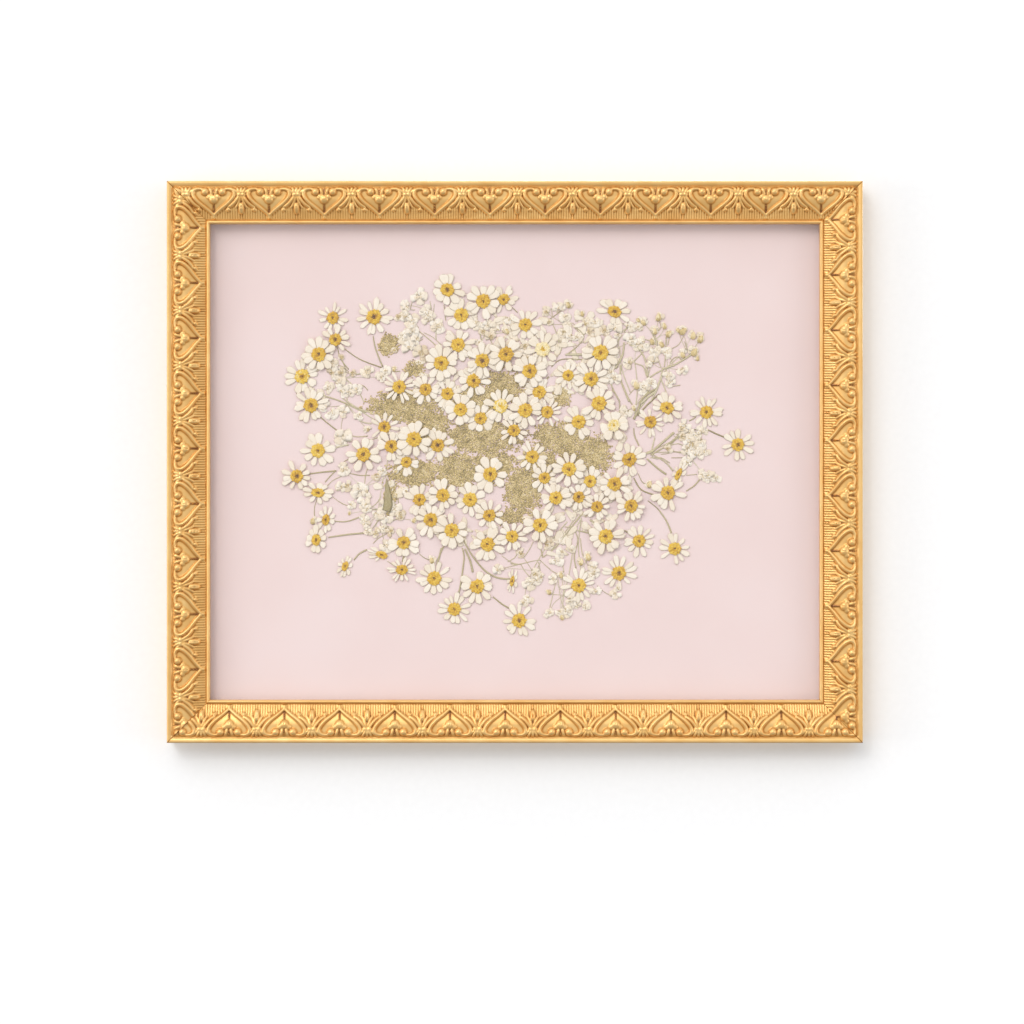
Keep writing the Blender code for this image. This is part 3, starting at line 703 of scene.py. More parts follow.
# Heads under and between those: (across, up, reach, petals, breadth, ripeness, layer), then squash
# and lean, then the arc of petals of one seen from its side
HEADS = {
    "upper_left": (
        (-104, 82.5, 9, 11, 0.72, 0.7, 1), (-102.5, 70, 9, 10, 0.85, 0.6, 2),
        (-121.5, 49, 10.8, 11, 1.1, 0.05, 2), (-74.5, 20, 9.1, 11, 0.72, 0.9, 0),
    ),
    "lower_left": (
        (-112.5, 6.5, 10.3, 10, 1, 0.1, 1), (-112.5, -17.5, 9.7, 10, 0.95, 0.15, 2, 0.68, -8),
        (-108, -33, 8.4, 9, 0.85, 0.6, 1, 0.68, 82), (-113.5, -44.5, 8.8, 9, 1.05, 0.2, 2, 0.76, 85),
        (-97, -59.5, 7.4, 9, 0.85, 0.3, 1, 0.62, 70), (-76, -53, 9, 6, 1, 0.25, 0, 0.6, -20, (20, 150)),
    ),
    "centre": (
        (-66, 43, 9.7, 13, 0.78, 0.7, 2), (-51, 41.5, 9.1, 11, 1, 0.7, 1),
        (-6.5, 93, 9.1, 10, 0.9, 0.5, 1, 0.85, 25), (-30.5, 84, 10.3, 9, 1.2, 0.25, 1),
        (6, 78.5, 9.7, 10, 1, 0.3, 0), (-32.5, 67, 10.3, 11, 1.05, 0.3, 1),
        (-18.5, 58, 10.5, 11, 1.1, 0.65, 2), (16, 64.5, 10.8, 11, 1, -0.4, 1),
        (8.5, 52, 10.5, 10, 1.1, 0.7, 2), (-23.5, 46.5, 10.3, 11, 1.1, 0.6, 1),
        (30.5, 49.5, 8.2, 10, 0.9, 0.2, 0), (43.5, 47.5, 10.8, 12, 0.95, 0.2, 1),
        (-38.5, 39, 9.1, 10, 1, 0.5, 0), (14, 40, 9.7, 11, 0.95, 0.3, 0),
        (48, 33.5, 10.8, 11, 1.05, 0.25, 2), (-62, 0, 8, 10, 1, 0.5, 0),
        (-70.5, 9, 9.7, 11, 1.05, 0.75, 1), (-44, 9.5, 9.7, 10, 1, 0.9, 1),
        (-54.5, -21.5, 9.1, 11, 1.1, 0.7, 1), (-41, -19, 9.7, 10, 1, 0.3, 2),
        (-48, -33, 10.3, 11, 1.05, 0.55, 1), (-31, 30, 9.7, 9, 1.1, 0.2, 1),
        (-19.5, 25, 9.1, 9, 1.1, 0.5, 0), (-8, 32, 10.3, 11, 1, -0.2, 1),
        (18.5, 28.5, 9.1, 13, 0.7, 0.4, 1), (-0.5, 18, 9.1, 11, 0.75, 0.75, 1),
        (36.5, 23, 10.3, 10, 1.05, 0.2, 1), (10, 3, 9.7, 12, 0.9, 0.4, 1), (17, -9, 8.5, 10, 1, 0.5, 1),
        (43, -11, 9.1, 10, 1.1, 0.15, 1), (-25.5, -21.5, 10.3, 10, 1, 0.25, 1),
        (23.5, -20.5, 9.7, 11, 1, 0.2, 2), (36.5, -20, 8.5, 10, 1, 0.9, 1),
        (47, -25.5, 8.5, 11, 0.85, 0.9, 1), (-14.5, -30.5, 9.1, 10, 0.9, 0.85, 1),
    ),
    "right": (
        (56.5, 21, 9.1, 7, 1.3, -0.3, 1), (77.5, 23, 9.1, 13, 0.75, 0.85, 1),
        (65.5, 1.5, 10.3, 11, 0.95, 0.9, 1), (57, -12.5, 10.3, 11, 1, 0.45, 1),
        (93.5, -7, 9.6, 10, 0.85, 0.4, 2, 0.42, 65), (66.5, -25, 9.7, 12, 1, 0.85, 2),
        (52, -42.5, 10.8, 11, 1.1, 0.15, 1),
    ),
    "lower": (
        (-63.5, -46, 9.7, 10, 1.05, 0.2, 1), (-64.5, -61.5, 8.8, 13, 0.72, 0.7, 1, 0.85, 0),
        (-15.5, -47, 10.3, 10, 1.1, 0.35, 1), (-1.5, -42.5, 9.1, 11, 0.95, 0.4, 1),
        (-1.5, -68, 8, 9, 0.85, 0.4, 2, 0.42, 80), (-34.5, -84, 9.7, 12, 0.9, 0.3, 1),
    ),
}
LOWEST_HEAD = 7.1
HIGHEST_HEAD = 8.9
PETALS_DEEP = 0.26
DISC_DEEP = 0.5
settled = []


def settle(across, up, reach):
    """The height at which a head comes to rest on those already laid."""
    height = LOWEST_HEAD
    for x, z, far, rest in settled:
        apart = math.hypot(across - x, up - z)
        if apart < reach + far * 0.4:
            height = max(height, rest + DISC_DEEP)
        elif apart < (reach + far) * 0.94:
            height = max(height, rest + PETALS_DEEP)
    height = min(height, HIGHEST_HEAD)
    settled.append((across, up, reach, height))
    return height


# Patches where shed petals lie under the heads: (across, up, half width, half height, how many)
SHED = (
    (30, 76, 20, 12, 34), (-12, 72, 22, 12, 34), (18, 50, 24, 16, 34), (-36, 50, 18, 18, 24),
    (48, 60, 14, 18, 20), (-112, 42, 8, 12, 10), (-60, 10, 20, 10, 12), (-24, -40, 17, 6, 14),
    (30, -30, 20, 14, 24), (58, -20, 14, 18, 16), (58, 20, 10, 14, 10), (22, -47, 20, 8, 14),
    (-68, -18, 9, 8, 8),
)
for spray, heads in HEADS.items():
    bunch = new_bunch()
    for across, up, wide, tall, count in SHED if spray == "centre" else ():
        for _ in range(count):
            off, turn = math.sqrt(chance.random()), chance.uniform(0, 2 * math.pi)
            x, z = across + wide * off * math.cos(turn), up + tall * off * math.sin(turn)
            own = placed(x, z, chance.uniform(6.84, 7.04), chance.uniform(0, 2 * math.pi),
                         chance.uniform(0.8, 1.4), chance.uniform(0.8, 1.15))
            lay(bunch, chance.choice(PETALS), [own], chance.uniform(0.1, 0.7), 0)
    for across, up, reach, petals, breadth, ripe, layer, *tilt in sorted(heads, key=lambda head: head[6]):
        lay_head(bunch, across, up, settle(across, up, reach), reach, petals, breadth, ripe, *tilt)
    pressed(f"daisies_{spray}", bunch, FLOWER, f"spray_{spray}")

for number, (petals, breadth, ripe, *tilt) in enumerate(TOP_HEADS, 1):
    low, high = (np.array(corner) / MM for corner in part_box(f"daisy_{number:02d}"))
    across, _, up = (low + high) / 2
    up -= PICTURE_UP
    reach = (high[0] - low[0]) / 2
    bunch = new_bunch()
    lay_head(bunch, across, up, settle(across, up, reach), reach, petals, breadth, ripe, *tilt)
    pressed(f"daisy_head_{number:02d}", bunch, FLOWER, f"daisy_{number:02d}")


# --- Stems and buds -----------------------------------------------------------------------------
# Olive-brown dried stalks of the daisies and of the baby's-breath, pressed to ribbons, with small
# closed buds. They are glued under the heads.
def spray_at(across, up):
    """The spray that a place on the card belongs to."""
    if across < -74.5:
        return "upper_left" if up > 15.5 else "lower_left"
    if across > (50.0 if up < 25.0 else 41.0) and not (up < -50.0 and across < 50.0):
        return "right"
    return "lower" if up < -45.0 - 0.1 * abs(across) * (across < 0) else "centre"


# Stalks: (thickness, tone, then the points along it as (across, up))
STEMS = (
    (0.74, 0.5, (-81, 72), (-79.5, 64.5), (-75.5, 54.5)),
    (0.63, 0.35, (-99.5, 66.5), (-89, 59), (-76, 54)), (0.57, 0.45, (-101.5, 66), (-99.5, 59), (-95, 53)),
    (0.63, 0.4, (-56, 66.5), (-52.5, 64), (-49, 62.5)), (0.4, 0.6, (-52, 74), (-47, 71.5), (-42, 67)),
    (0.46, 0.6, (-48.5, 92), (-47, 84.5), (-45, 79)),
    (0.46, 0.5, (-96.5, 51.5), (-92, 50), (-87.5, 50.5)),
    (0.4, 0.5, (-58.5, 92), (-59.5, 87.5), (-57, 87)),
    (0.4, 0.5, (-62, 82), (-59.5, 84.5), (-58, 79.5), (-55, 77)),
    (0.4, 0.6, (-53.5, 93), (-52, 90), (-49, 87)), (0.34, 0.6, (-79, 63.5), (-74, 66), (-73, 69.5)),
    (0.46, 0.6, (-102, 55.5), (-98, 54.5), (-95, 51.5)),
    (0.51, 0.5, (-76.5, 51), (-70.5, 51.5), (-65.5, 52)), (0.46, 0.5, (-96, 44), (-87.5, 44), (-84, 41)),
    (0.46, 0.5, (-52.5, 70.5), (-55.5, 68.5), (-62.5, 65)),
    (0.4, 0.5, (-99, 58.5), (-96.5, 52), (-99, 48.5)),
    (0.63, 0.4, (-115, 29.5), (-108.5, 23.5), (-101.5, 18)),
    (0.57, 0.6, (-96, 15.5), (-89.5, 14.5), (-84, 15)), (0.91, 0.7, (-104.5, 7.5), (-100, 9), (-95, 10)),
    (0.51, 0.5, (-99, -1), (-96.5, 1), (-94, 2)), (0.8, 0.45, (-121.5, -7.5), (-112.5, -6), (-102, -5)),
    (0.63, 0.5, (-108.5, -11.5), (-105.5, -8), (-102.5, -5)),
    (0.57, 0.5, (-96, -6), (-89, -7.5), (-83, -7.5)),
    (0.46, 0.6, (-109.5, -16.5), (-104, -10.5), (-95, -6.5)),
    (0.91, 0.6, (-111, 38.5), (-101.5, 35.5), (-91.5, 31.5), (-85, 28.5)),
    (0.85, 0.7, (-99, 37), (-90, 31), (-81, 28)), (0.68, 0.7, (-91.5, 26.5), (-87, 23), (-82, 22)),
    (0.46, 0.5, (-113, -21), (-114.5, -26), (-114.5, -31.5)),
    (0.68, 0.5, (-105, -33.5), (-96.5, -34), (-89, -31.5)),
    (0.46, 0.6, (-65, -14.5), (-58.5, -14.5), (-57.5, -18)),
    (0.51, 0.6, (-76.5, -19.5), (-79, -23.5), (-83, -26.5)),
    (0.51, 0.5, (-81.5, -27), (-76.5, -26.5), (-73, -23.5)),
    (0.51, 0.5, (-71, -34), (-66.5, -32), (-65, -30.5)), (0.51, 0.6, (-81, -37.5), (-77, -32)),
    (0.57, 0.7, (-74, -8.5), (-73, -1), (-72.5, 2.5)),
    (0.51, 0.5, (-69, -14.5), (-66.5, -23.5), (-68.5, -30.5)),
    (0.51, 0.5, (-84, 13), (-81.5, 13), (-78.5, 14)), (0.46, 0.6, (-104, -20), (-99, -23.5), (-95, -25)),
    (0.46, 0.6, (-70.5, 19.5), (-65.5, 19.5)), (0.4, 0.6, (-94, -15.5), (-89.5, -12)),
    (0.91, 0.55, (-106.5, -43), (-96.5, -41.5), (-86.5, -40.5)),
    (0.91, 0.5, (-92, -56), (-89, -52.5), (-84.5, -50)),
    (0.51, 0.5, (-81.5, -38), (-79.5, -35.5), (-78, -33)),
    (0.51, 0.6, (-81, -46.5), (-78, -43.5), (-73.5, -41)),
    (1.08, 0.4, (-63, -51.5), (-63.5, -54), (-64, -57)),
    (0.46, 0.5, (-54.5, -52.5), (-52, -54.5), (-49, -56)),
    (0.97, 0.5, (-42, -49), (-43, -53.5), (-44.5, -58.5)),
    (0.46, 0.6, (-73, -56.5), (-70, -58.5), (-67.5, -60)),
    (0.51, 0.5, (-115.5, -33.5), (-112, -34), (-109.5, -34)),
    (0.51, 0.5, (-73, -34), (-68.5, -33), (-65.5, -31)),
    (0.46, 0.5, (-71.5, -43.5), (-70.5, -38.5), (-73, -36.5)),
    (0.97, 0.5, (-40.5, -48), (-42.5, -52), (-44.5, -58.5)),
    (0.85, 0.5, (-30, -49), (-29, -54), (-29.5, -59.5), (-31, -70), (-33.5, -81)),
    (1.08, 0.5, (-28.5, -49.5), (-25.5, -56.5), (-24, -63)),
    (0.91, 0.5, (-30.5, -42), (-27, -49), (-22.5, -56), (-16.5, -62.5), (-10, -66), (-2, -67)),
    (0.8, 0.4, (-12.5, -77), (-7.5, -81), (-3.5, -83.5)),
    (0.63, 0.5, (14.5, -39.5), (13.5, -46), (15, -50), (16, -54.5)),
    (0.51, 0.6, (15, -56), (10.5, -56.5), (6.5, -57.5), (1, -58.5), (-2.5, -58)),
    (0.74, 0.6, (16, -54.5), (24, -48), (31.5, -38), (37.5, -30.5)),
    (0.46, 0.6, (15, -56.5), (21, -62), (27, -65)), (0.4, 0.6, (15, -56.5), (13.5, -59.5), (12, -63)),
    (0.63, 0.55, (34, -38.5), (36, -44.5), (34, -54), (35, -60.5)),
    (0.8, 0.6, (33, -38.5), (42, -40.5), (49, -43)), (0.57, 0.65, (37.5, -43.5), (38.5, -52), (41, -57)),
    (0.46, 0.7, (24, -67), (22.5, -72.5), (20, -83)),
    (0.4, 0.7, (24.5, -64.5), (25.5, -73), (26.5, -79.5), (29, -84)),
    (0.51, 0.7, (10.5, -45.5), (8.5, -49.5), (5.5, -54)),
    (0.46, 0.6, (3.5, -58.5), (5.5, -62), (8.5, -65.5)),
    (0.46, 0.6, (-7.5, -53.5), (-1.5, -57.5), (3.5, -58.5)),
    (0.4, 0.6, (-9, -61.5), (-4, -60), (2, -58.5)),
    (0.63, 0.6, (28.5, -37), (32.5, -36.5), (37.5, -31), (39.5, -28.5)),
    (0.51, 0.7, (27, -54.5), (28, -63)), (0.57, 0.6, (35, -60.5), (35.5, -67)),
    (0.51, 0.6, (38.5, -33.5), (41, -38), (43.5, -43.5)), (0.51, 0.6, (2, -51), (0, -54.5), (-4, -57)),
    (0.46, 0.6, (13.5, -57), (14.5, -62)), (1.37, 0.6, (43, -33), (46.5, -35.5), (50, -39.5)),
    (0.8, 0.3, (62.5, -39), (65, -40.5), (68, -42)),
    (0.91, 0.55, (82.5, -27.5), (86, -32.5), (88, -36.5), (89.5, -40.5)),
    (0.4, 0.6, (47, -70.5), (51.5, -74.5), (55.5, -76.5)),
    (0.46, 0.6, (40.5, -56.5), (43, -62), (44, -67)),
    (0.68, 0.55, (55.5, 41.5), (59.5, 35.5), (60, 27.5)), (0.68, 0.55, (62, 42), (65, 36.5), (67, 33)),
    (1.25, 0.5, (80.5, 42), (73, 36.5), (70.5, 30), (68, 24.5)),
    (0.85, 0.6, (77.5, 42), (72.5, 35.5), (70.5, 28)), (0.91, 0.3, (82.5, 39), (76, 33), (70, 26.5)),
    (0.74, 0.5, (68, 19.5), (68.5, 15), (71, 9.5)),
    (1.25, 0.6, (72, 5), (77.5, 5.5), (83.5, 10.5), (91, 17)),
    (0.85, 0.5, (77.5, 4), (86, 9), (93.5, 15)), (0.8, 0.7, (80, 14), (79, 10), (78, 5.5)),
    (1.03, 0.5, (75.5, 2), (81, -3), (86.5, -7)), (0.74, 0.6, (78.5, 4.5), (86, 0), (90.5, -5)),
    (0.8, 0.25, (101.5, 18.5), (109.5, 18.5), (115.5, 16), (120.5, 14)),
    (0.68, 0.5, (99.5, 23.5), (101.5, 24.5), (103.5, 26)),
    (0.8, 0.35, (68, -9), (72, -15.5), (79, -18.5), (83.5, -19.5)),
    (0.51, 0.5, (70.5, -6.5), (73, -11.5), (77, -13)),
    (0.74, 0.5, (98, -16.5), (102.5, -13.5), (106, -9.5)),
    (0.57, 0.3, (76, -22), (81.5, -26.5), (86, -32.5)),
    (0.46, 0.35, (89.5, 2.5), (94.5, 2.5), (99.5, 2.5)), (0.51, 0.5, (86, 7.5), (93.5, 5.5), (98.5, 5)),
    (0.51, 0.5, (87.5, 9), (93.5, 10.5), (99.5, 7.5)), (0.51, 0.55, (91, 15), (95.5, 12.5), (99.5, 10)),
    (0.51, 0.55, (92, 16), (97, 15.5), (103.5, 15)), (0.51, 0.5, (83.5, 4.5), (87.5, 5), (91, 6.5)),
    (0.57, 0.6, (77.5, 2.5), (83.5, 2.5), (88.5, -0.5)), (0.57, 0.5, (86.5, 8.5), (92, 13), (96.5, 19.5)),
    (0.46, 0.6, (98, -7.5), (104, -7)), (0.51, 0.4, (106, -9.5), (110, -11)),
    (0.4, 0.6, (78.5, 7.5), (79, 2.5), (83.5, 2)), (0.8, 0.6, (54.5, 45.5), (57, 40), (60, 34.5)),
    (1.03, 0.6, (60.5, 55.5), (60.5, 47.5), (63, 40.5), (65.5, 34.5)),
    (0.74, 0.6, (61.5, 73), (59, 69.5), (57.5, 66)), (1.14, 0.65, (62.5, 68.5), (61.5, 61), (57.5, 53.5)),
    (0.91, 0.65, (65.5, 67), (70.5, 65), (74.5, 58.5), (76, 48.5)),
    (0.8, 0.65, (68.5, 56.5), (73.5, 54.5), (76, 48.5), (81, 51), (85, 53)),
    (1.14, 0.65, (84, 53), (91, 55.5), (97, 59), (101.5, 62)),
    (0.57, 0.5, (88.5, 56.5), (91, 59.5), (93.5, 60), (95.5, 58)),
    (0.68, 0.65, (85.5, 54.5), (86, 59.5), (86.5, 67), (86.5, 71.5)),
    (1.14, 0.7, (84.5, 52), (81, 41.5), (76, 37), (72, 33.5)),
    (0.46, 0.6, (96.5, 72), (93.5, 67), (89.5, 64.5), (89.5, 61.5)),
    (0.68, 0.7, (83.5, 54.5), (81.5, 61), (81, 70.5)), (0.57, 0.65, (73.5, 70.5), (78, 69), (81, 67)),
    (0.4, 0.5, (70.5, 81), (71, 79.5), (73.5, 79.5)), (0.51, 0.6, (65.5, 38.5), (67, 40.5), (69.5, 43)),
    (0.4, 0.5, (97, 74.5), (92, 75)), (0.51, 0.6, (87.5, 42.5), (91, 43.5), (94.5, 44)),
    (0.4, 0.5, (102, 61), (105, 58.5)), (0.91, 0.75, (77.5, 34.5), (81, 41), (84, 49)),
    (0.51, 0.6, (61.5, 79.5), (64, 77), (62.5, 74.5)), (0.46, 0.6, (97, 69), (98.5, 64.5)),
    (0.46, 0.6, (91, 54.5), (88.5, 61), (89, 63.5)), (0.63, 0.65, (78.5, 74.5), (81, 69.5), (83.5, 66.5)),
    (0.46, 0.6, (82.5, 81), (83.5, 77), (81, 74)), (0.46, 0.6, (88.5, 72), (87.5, 67)),
    (0.57, 0.7, (75, 56), (77.5, 55.5), (76, 48.5)), (0.68, 0.7, (87.5, 34.5), (86.5, 40), (83.5, 47.5)),
    (0.57, 0.4, (19, 81), (24.5, 85), (30, 89.5)), (0.57, 0.4, (-1.5, 88.5), (0, 87), (1.5, 85.5)),
    (0.51, 0.5, (-15, 92), (-12, 92), (-9.5, 92)), (0.51, 0.5, (-40.5, 90), (-40, 85.5), (-39.5, 81)),
    (0.63, 0.5, (-20.5, 80.5), (-20, 74.5), (-19, 68.5)), (0.57, 0.5, (8.5, 75), (11, 72.5), (13, 69)),
    (0.63, 0.5, (35, 77), (39.5, 72), (35.5, 66), (29, 61)),
    (0.51, 0.6, (24, 73), (22.5, 70.5), (21, 68.5)), (0.57, 0.65, (21, 80.5), (24, 73), (25.5, 65)),
    (1.37, 0.7, (29, 61.5), (35, 61.5), (41, 61.5)),
    (0.63, 0.4, (21, 54.5), (25, 58), (30, 59), (39.5, 58.5)), (0.51, 0.6, (32.5, 59), (32.5, 54.5)),
    (0.51, 0.6, (31.5, 79.5), (35.5, 75.5), (39.5, 72)),
    (0.91, 0.4, (19.5, 49), (17.5, 46.5), (16.5, 43.5)), (0.46, 0.6, (-20.5, 68.5), (-22.5, 68)),
    (0.4, 0.6, (-46, 90.5), (-46.5, 85), (-46, 80.5)), (0.46, 0.5, (45, 79), (49, 79.5)),
    (0.46, 0.6, (21, 87.5), (21.5, 83.5)), (0.46, 0.5, (-27, 73), (-28, 70.5)),
    (0.4, 0.6, (29.5, 77.5), (33, 79.5), (35, 77)), (0.51, 0.5, (-29.5, 80), (-28.5, 76.5)),
    (0.57, 0.6, (25.5, 61.5), (27, 66.5), (25, 69.5)),
)
# Closed buds: (across, up, radius)
BUDS = (
    (-69, 53, 1.3), (-47.5, -56.5, 1.7), (-57.5, -33.5, 1.4), (-115.5, -34, 1.8), (-20, 67.5, 1.3),
    (30.5, 89.5, 1.8), (38.5, 84.5, 1.4), (73.5, 79.5, 1.7), (82, 82.5, 2.2), (85.5, 77.5, 1.7),
    (80, 74.5, 1.8), (88, 73, 2.1), (96, 74.5, 2.3), (93.5, 75, 1.4), (102, 72, 2.1), (106, 70, 2.2),
    (102.5, 62.5, 2.3), (96, 61, 1.8), (69.5, 43.5, 2.3), (84, 67, 1.7), (78.5, 68.5, 1.7),
    (104.5, 59, 1.3), (77, -13, 1.9), (19.5, -74.5, 1.6), (38, -57.5, 1.8), (42, -54.5, 2.1),
    (27, -89, 1.5), (26.5, -65, 1.5), (-68, -5.5, 1.1), (-52, 48.5, 1.1), (-4.5, 74.5, 1.5),
    (-94.5, -29.5, 1), (-25.5, 59.5, 0.7), (-33, 59, 0.7), (70.5, 81, 1.3), (68, 30.5, 1.4),
)


def lay_stalk(bunch, points, thick, height, tone, finish, depth=0.36):
    """A pressed stalk through the points, swelling a little at its foot."""
    line = through(points, 6) if np.ndim(thick) == 0 else points
    ahead = np.gradient(line, axis=0)
    ahead /= np.maximum(np.hypot(*ahead.T), 1e-6)[:, None]
    side = np.column_stack([-ahead[:, 1], ahead[:, 0]])
    run = np.linspace(0.0, 1.0, len(line))
    half = thick / 2 * (0.85 + 0.3 * run) if np.ndim(thick) == 0 else thick / 2
    turns = np.linspace(0, 2 * math.pi, 7)[:-1]
    ring = [np.column_stack([line + side * (half * math.cos(turn))[:, None],
                             np.full(len(line), height) + half * depth * math.sin(turn)]) for turn in turns]
    points = np.stack(ring, axis=1)
    rows, around = points.shape[:2]
    first = np.arange(rows - 1)[:, None] * around + np.arange(around)[None]
    beside = np.arange(rows - 1)[:, None] * around + (np.arange(around)[None] + 1) % around
    walls = np.stack([first, first + around, beside + around, beside], axis=-1).reshape(-1)
    ends = np.concatenate([np.arange(around), (rows - 1) * around + np.arange(around)[::-1]])
    across, tones = np.tile(np.cos(turns), rows), np.full(rows * around, tone)
    growth = np.column_stack([across, np.repeat(run, around), tones])
    bunch["points"].append(points.reshape(-1, 3))
    bunch["growth"].append(growth)
    bunch["loops"].append(np.concatenate([walls, ends]) + bunch["count"])
    bunch["sizes"].append(np.array([4] * ((rows - 1) * around) + [around, around], np.int32))
    bunch["finish"].append(np.full((rows - 1) * around + 2, finish, np.int32))
    bunch["count"] += rows * around


deselect()
bpy.ops.mesh.primitive_uv_sphere_add(segments=8, ring_count=6, radius=1.0)
pod = bpy.context.object
for vertex in pod.data.vertices:
    vertex.co.x *= 0.8 * (1 - 0.25 * vertex.co.y)
    vertex.co.z *= 0.5
BUD = as_shape(pod)

stalk, shader = finish_of("dried_stalk", 0.7)
grown, part = growth_of(stalk)
drawn = add(stalk, "ShaderNodeMapping", {"Vector": grown, "Scale": (2.5, 6.0, 17.0)})
streaks = noise(stalk, drawn.outputs[0], 1.5, 3.0)
shade = maths(stalk, "MULTIPLY_ADD", streaks, 0.5, part["Z"])
shade = maths(stalk, "ADD", shade, -0.25)
colour(stalk, shader, shade, ((0.1, "8A7750"), (0.4, "AB9C70"), (0.65, "CCBF9A"), (0.95, "E3DAC2")))
roughen(stalk, shader, streaks, 0.4, 0.0002)

husk, shader = finish_of("dried_bud_and_seed", 0.75)
_, part = growth_of(husk)
where = object_place(husk)
fleck = noise(husk, where, 1900.0, 2.0)
shade = maths(husk, "MULTIPLY_ADD", fleck, 0.4, part["Z"])
shade = maths(husk, "ADD", shade, -0.2)
colour(husk, shader, shade, (
    (0.0, "948154"), (0.3, "B9A269"), (0.55, "D5BD82"), (0.8, "E7D09C"), (1.0, "F2E4C0")))
roughen(husk, shader, fleck, 0.4, 0.0002)

LEAF = ((-73.2, -9.0), (-73.1, -13.0), (-72.6, -18.5), (-72.4, -24.0), (-73.4, -28.0))
LEAF_HALVES = (0.1, 0.9, 1.9, 2.7, 2.4)
leaf_line = through(LEAF, 4)
leaf_half = np.interp(np.linspace(0, 1, len(leaf_line)), np.linspace(0, 1, 5), LEAF_HALVES)

stalks = {spray: new_bunch() for spray in HEADS}
lay_stalk(stalks["lower_left"], leaf_line, 2 * leaf_half, 7.35, 0.38, 0, 0.06)
for thick, tone, *points in STEMS:
    spray = spray_at(*np.mean(points, axis=0))
    lay_stalk(stalks[spray], points, thick, 6.72 + thick * 0.18 + chance.uniform(0.0, 0.12), tone, 0)
for across, up, radius in BUDS:
    turn = chance.uniform(-0.9, 0.9)
    spray = spray_at(across, up)
    heart = placed(across, up, 6.75 + radius * 0.3, turn, radius * 0.9, radius, radius * 0.6)
    lay(stalks[spray], BUD, [heart], chance.uniform(0.3, 0.6), 1)
    for side in (-0.5, 0.1, 0.6):
        scale = placed(across, up, 6.8 + radius * 0.33, turn + side * 0.6,
                       radius * 0.4, radius * 0.95, radius * 0.55)
        scale = scale @ Matrix.Translation((side * 1.6, 0.25, 0.0))
        lay(stalks[spray], BUD, [scale], chance.uniform(0.55, 0.95), 1)


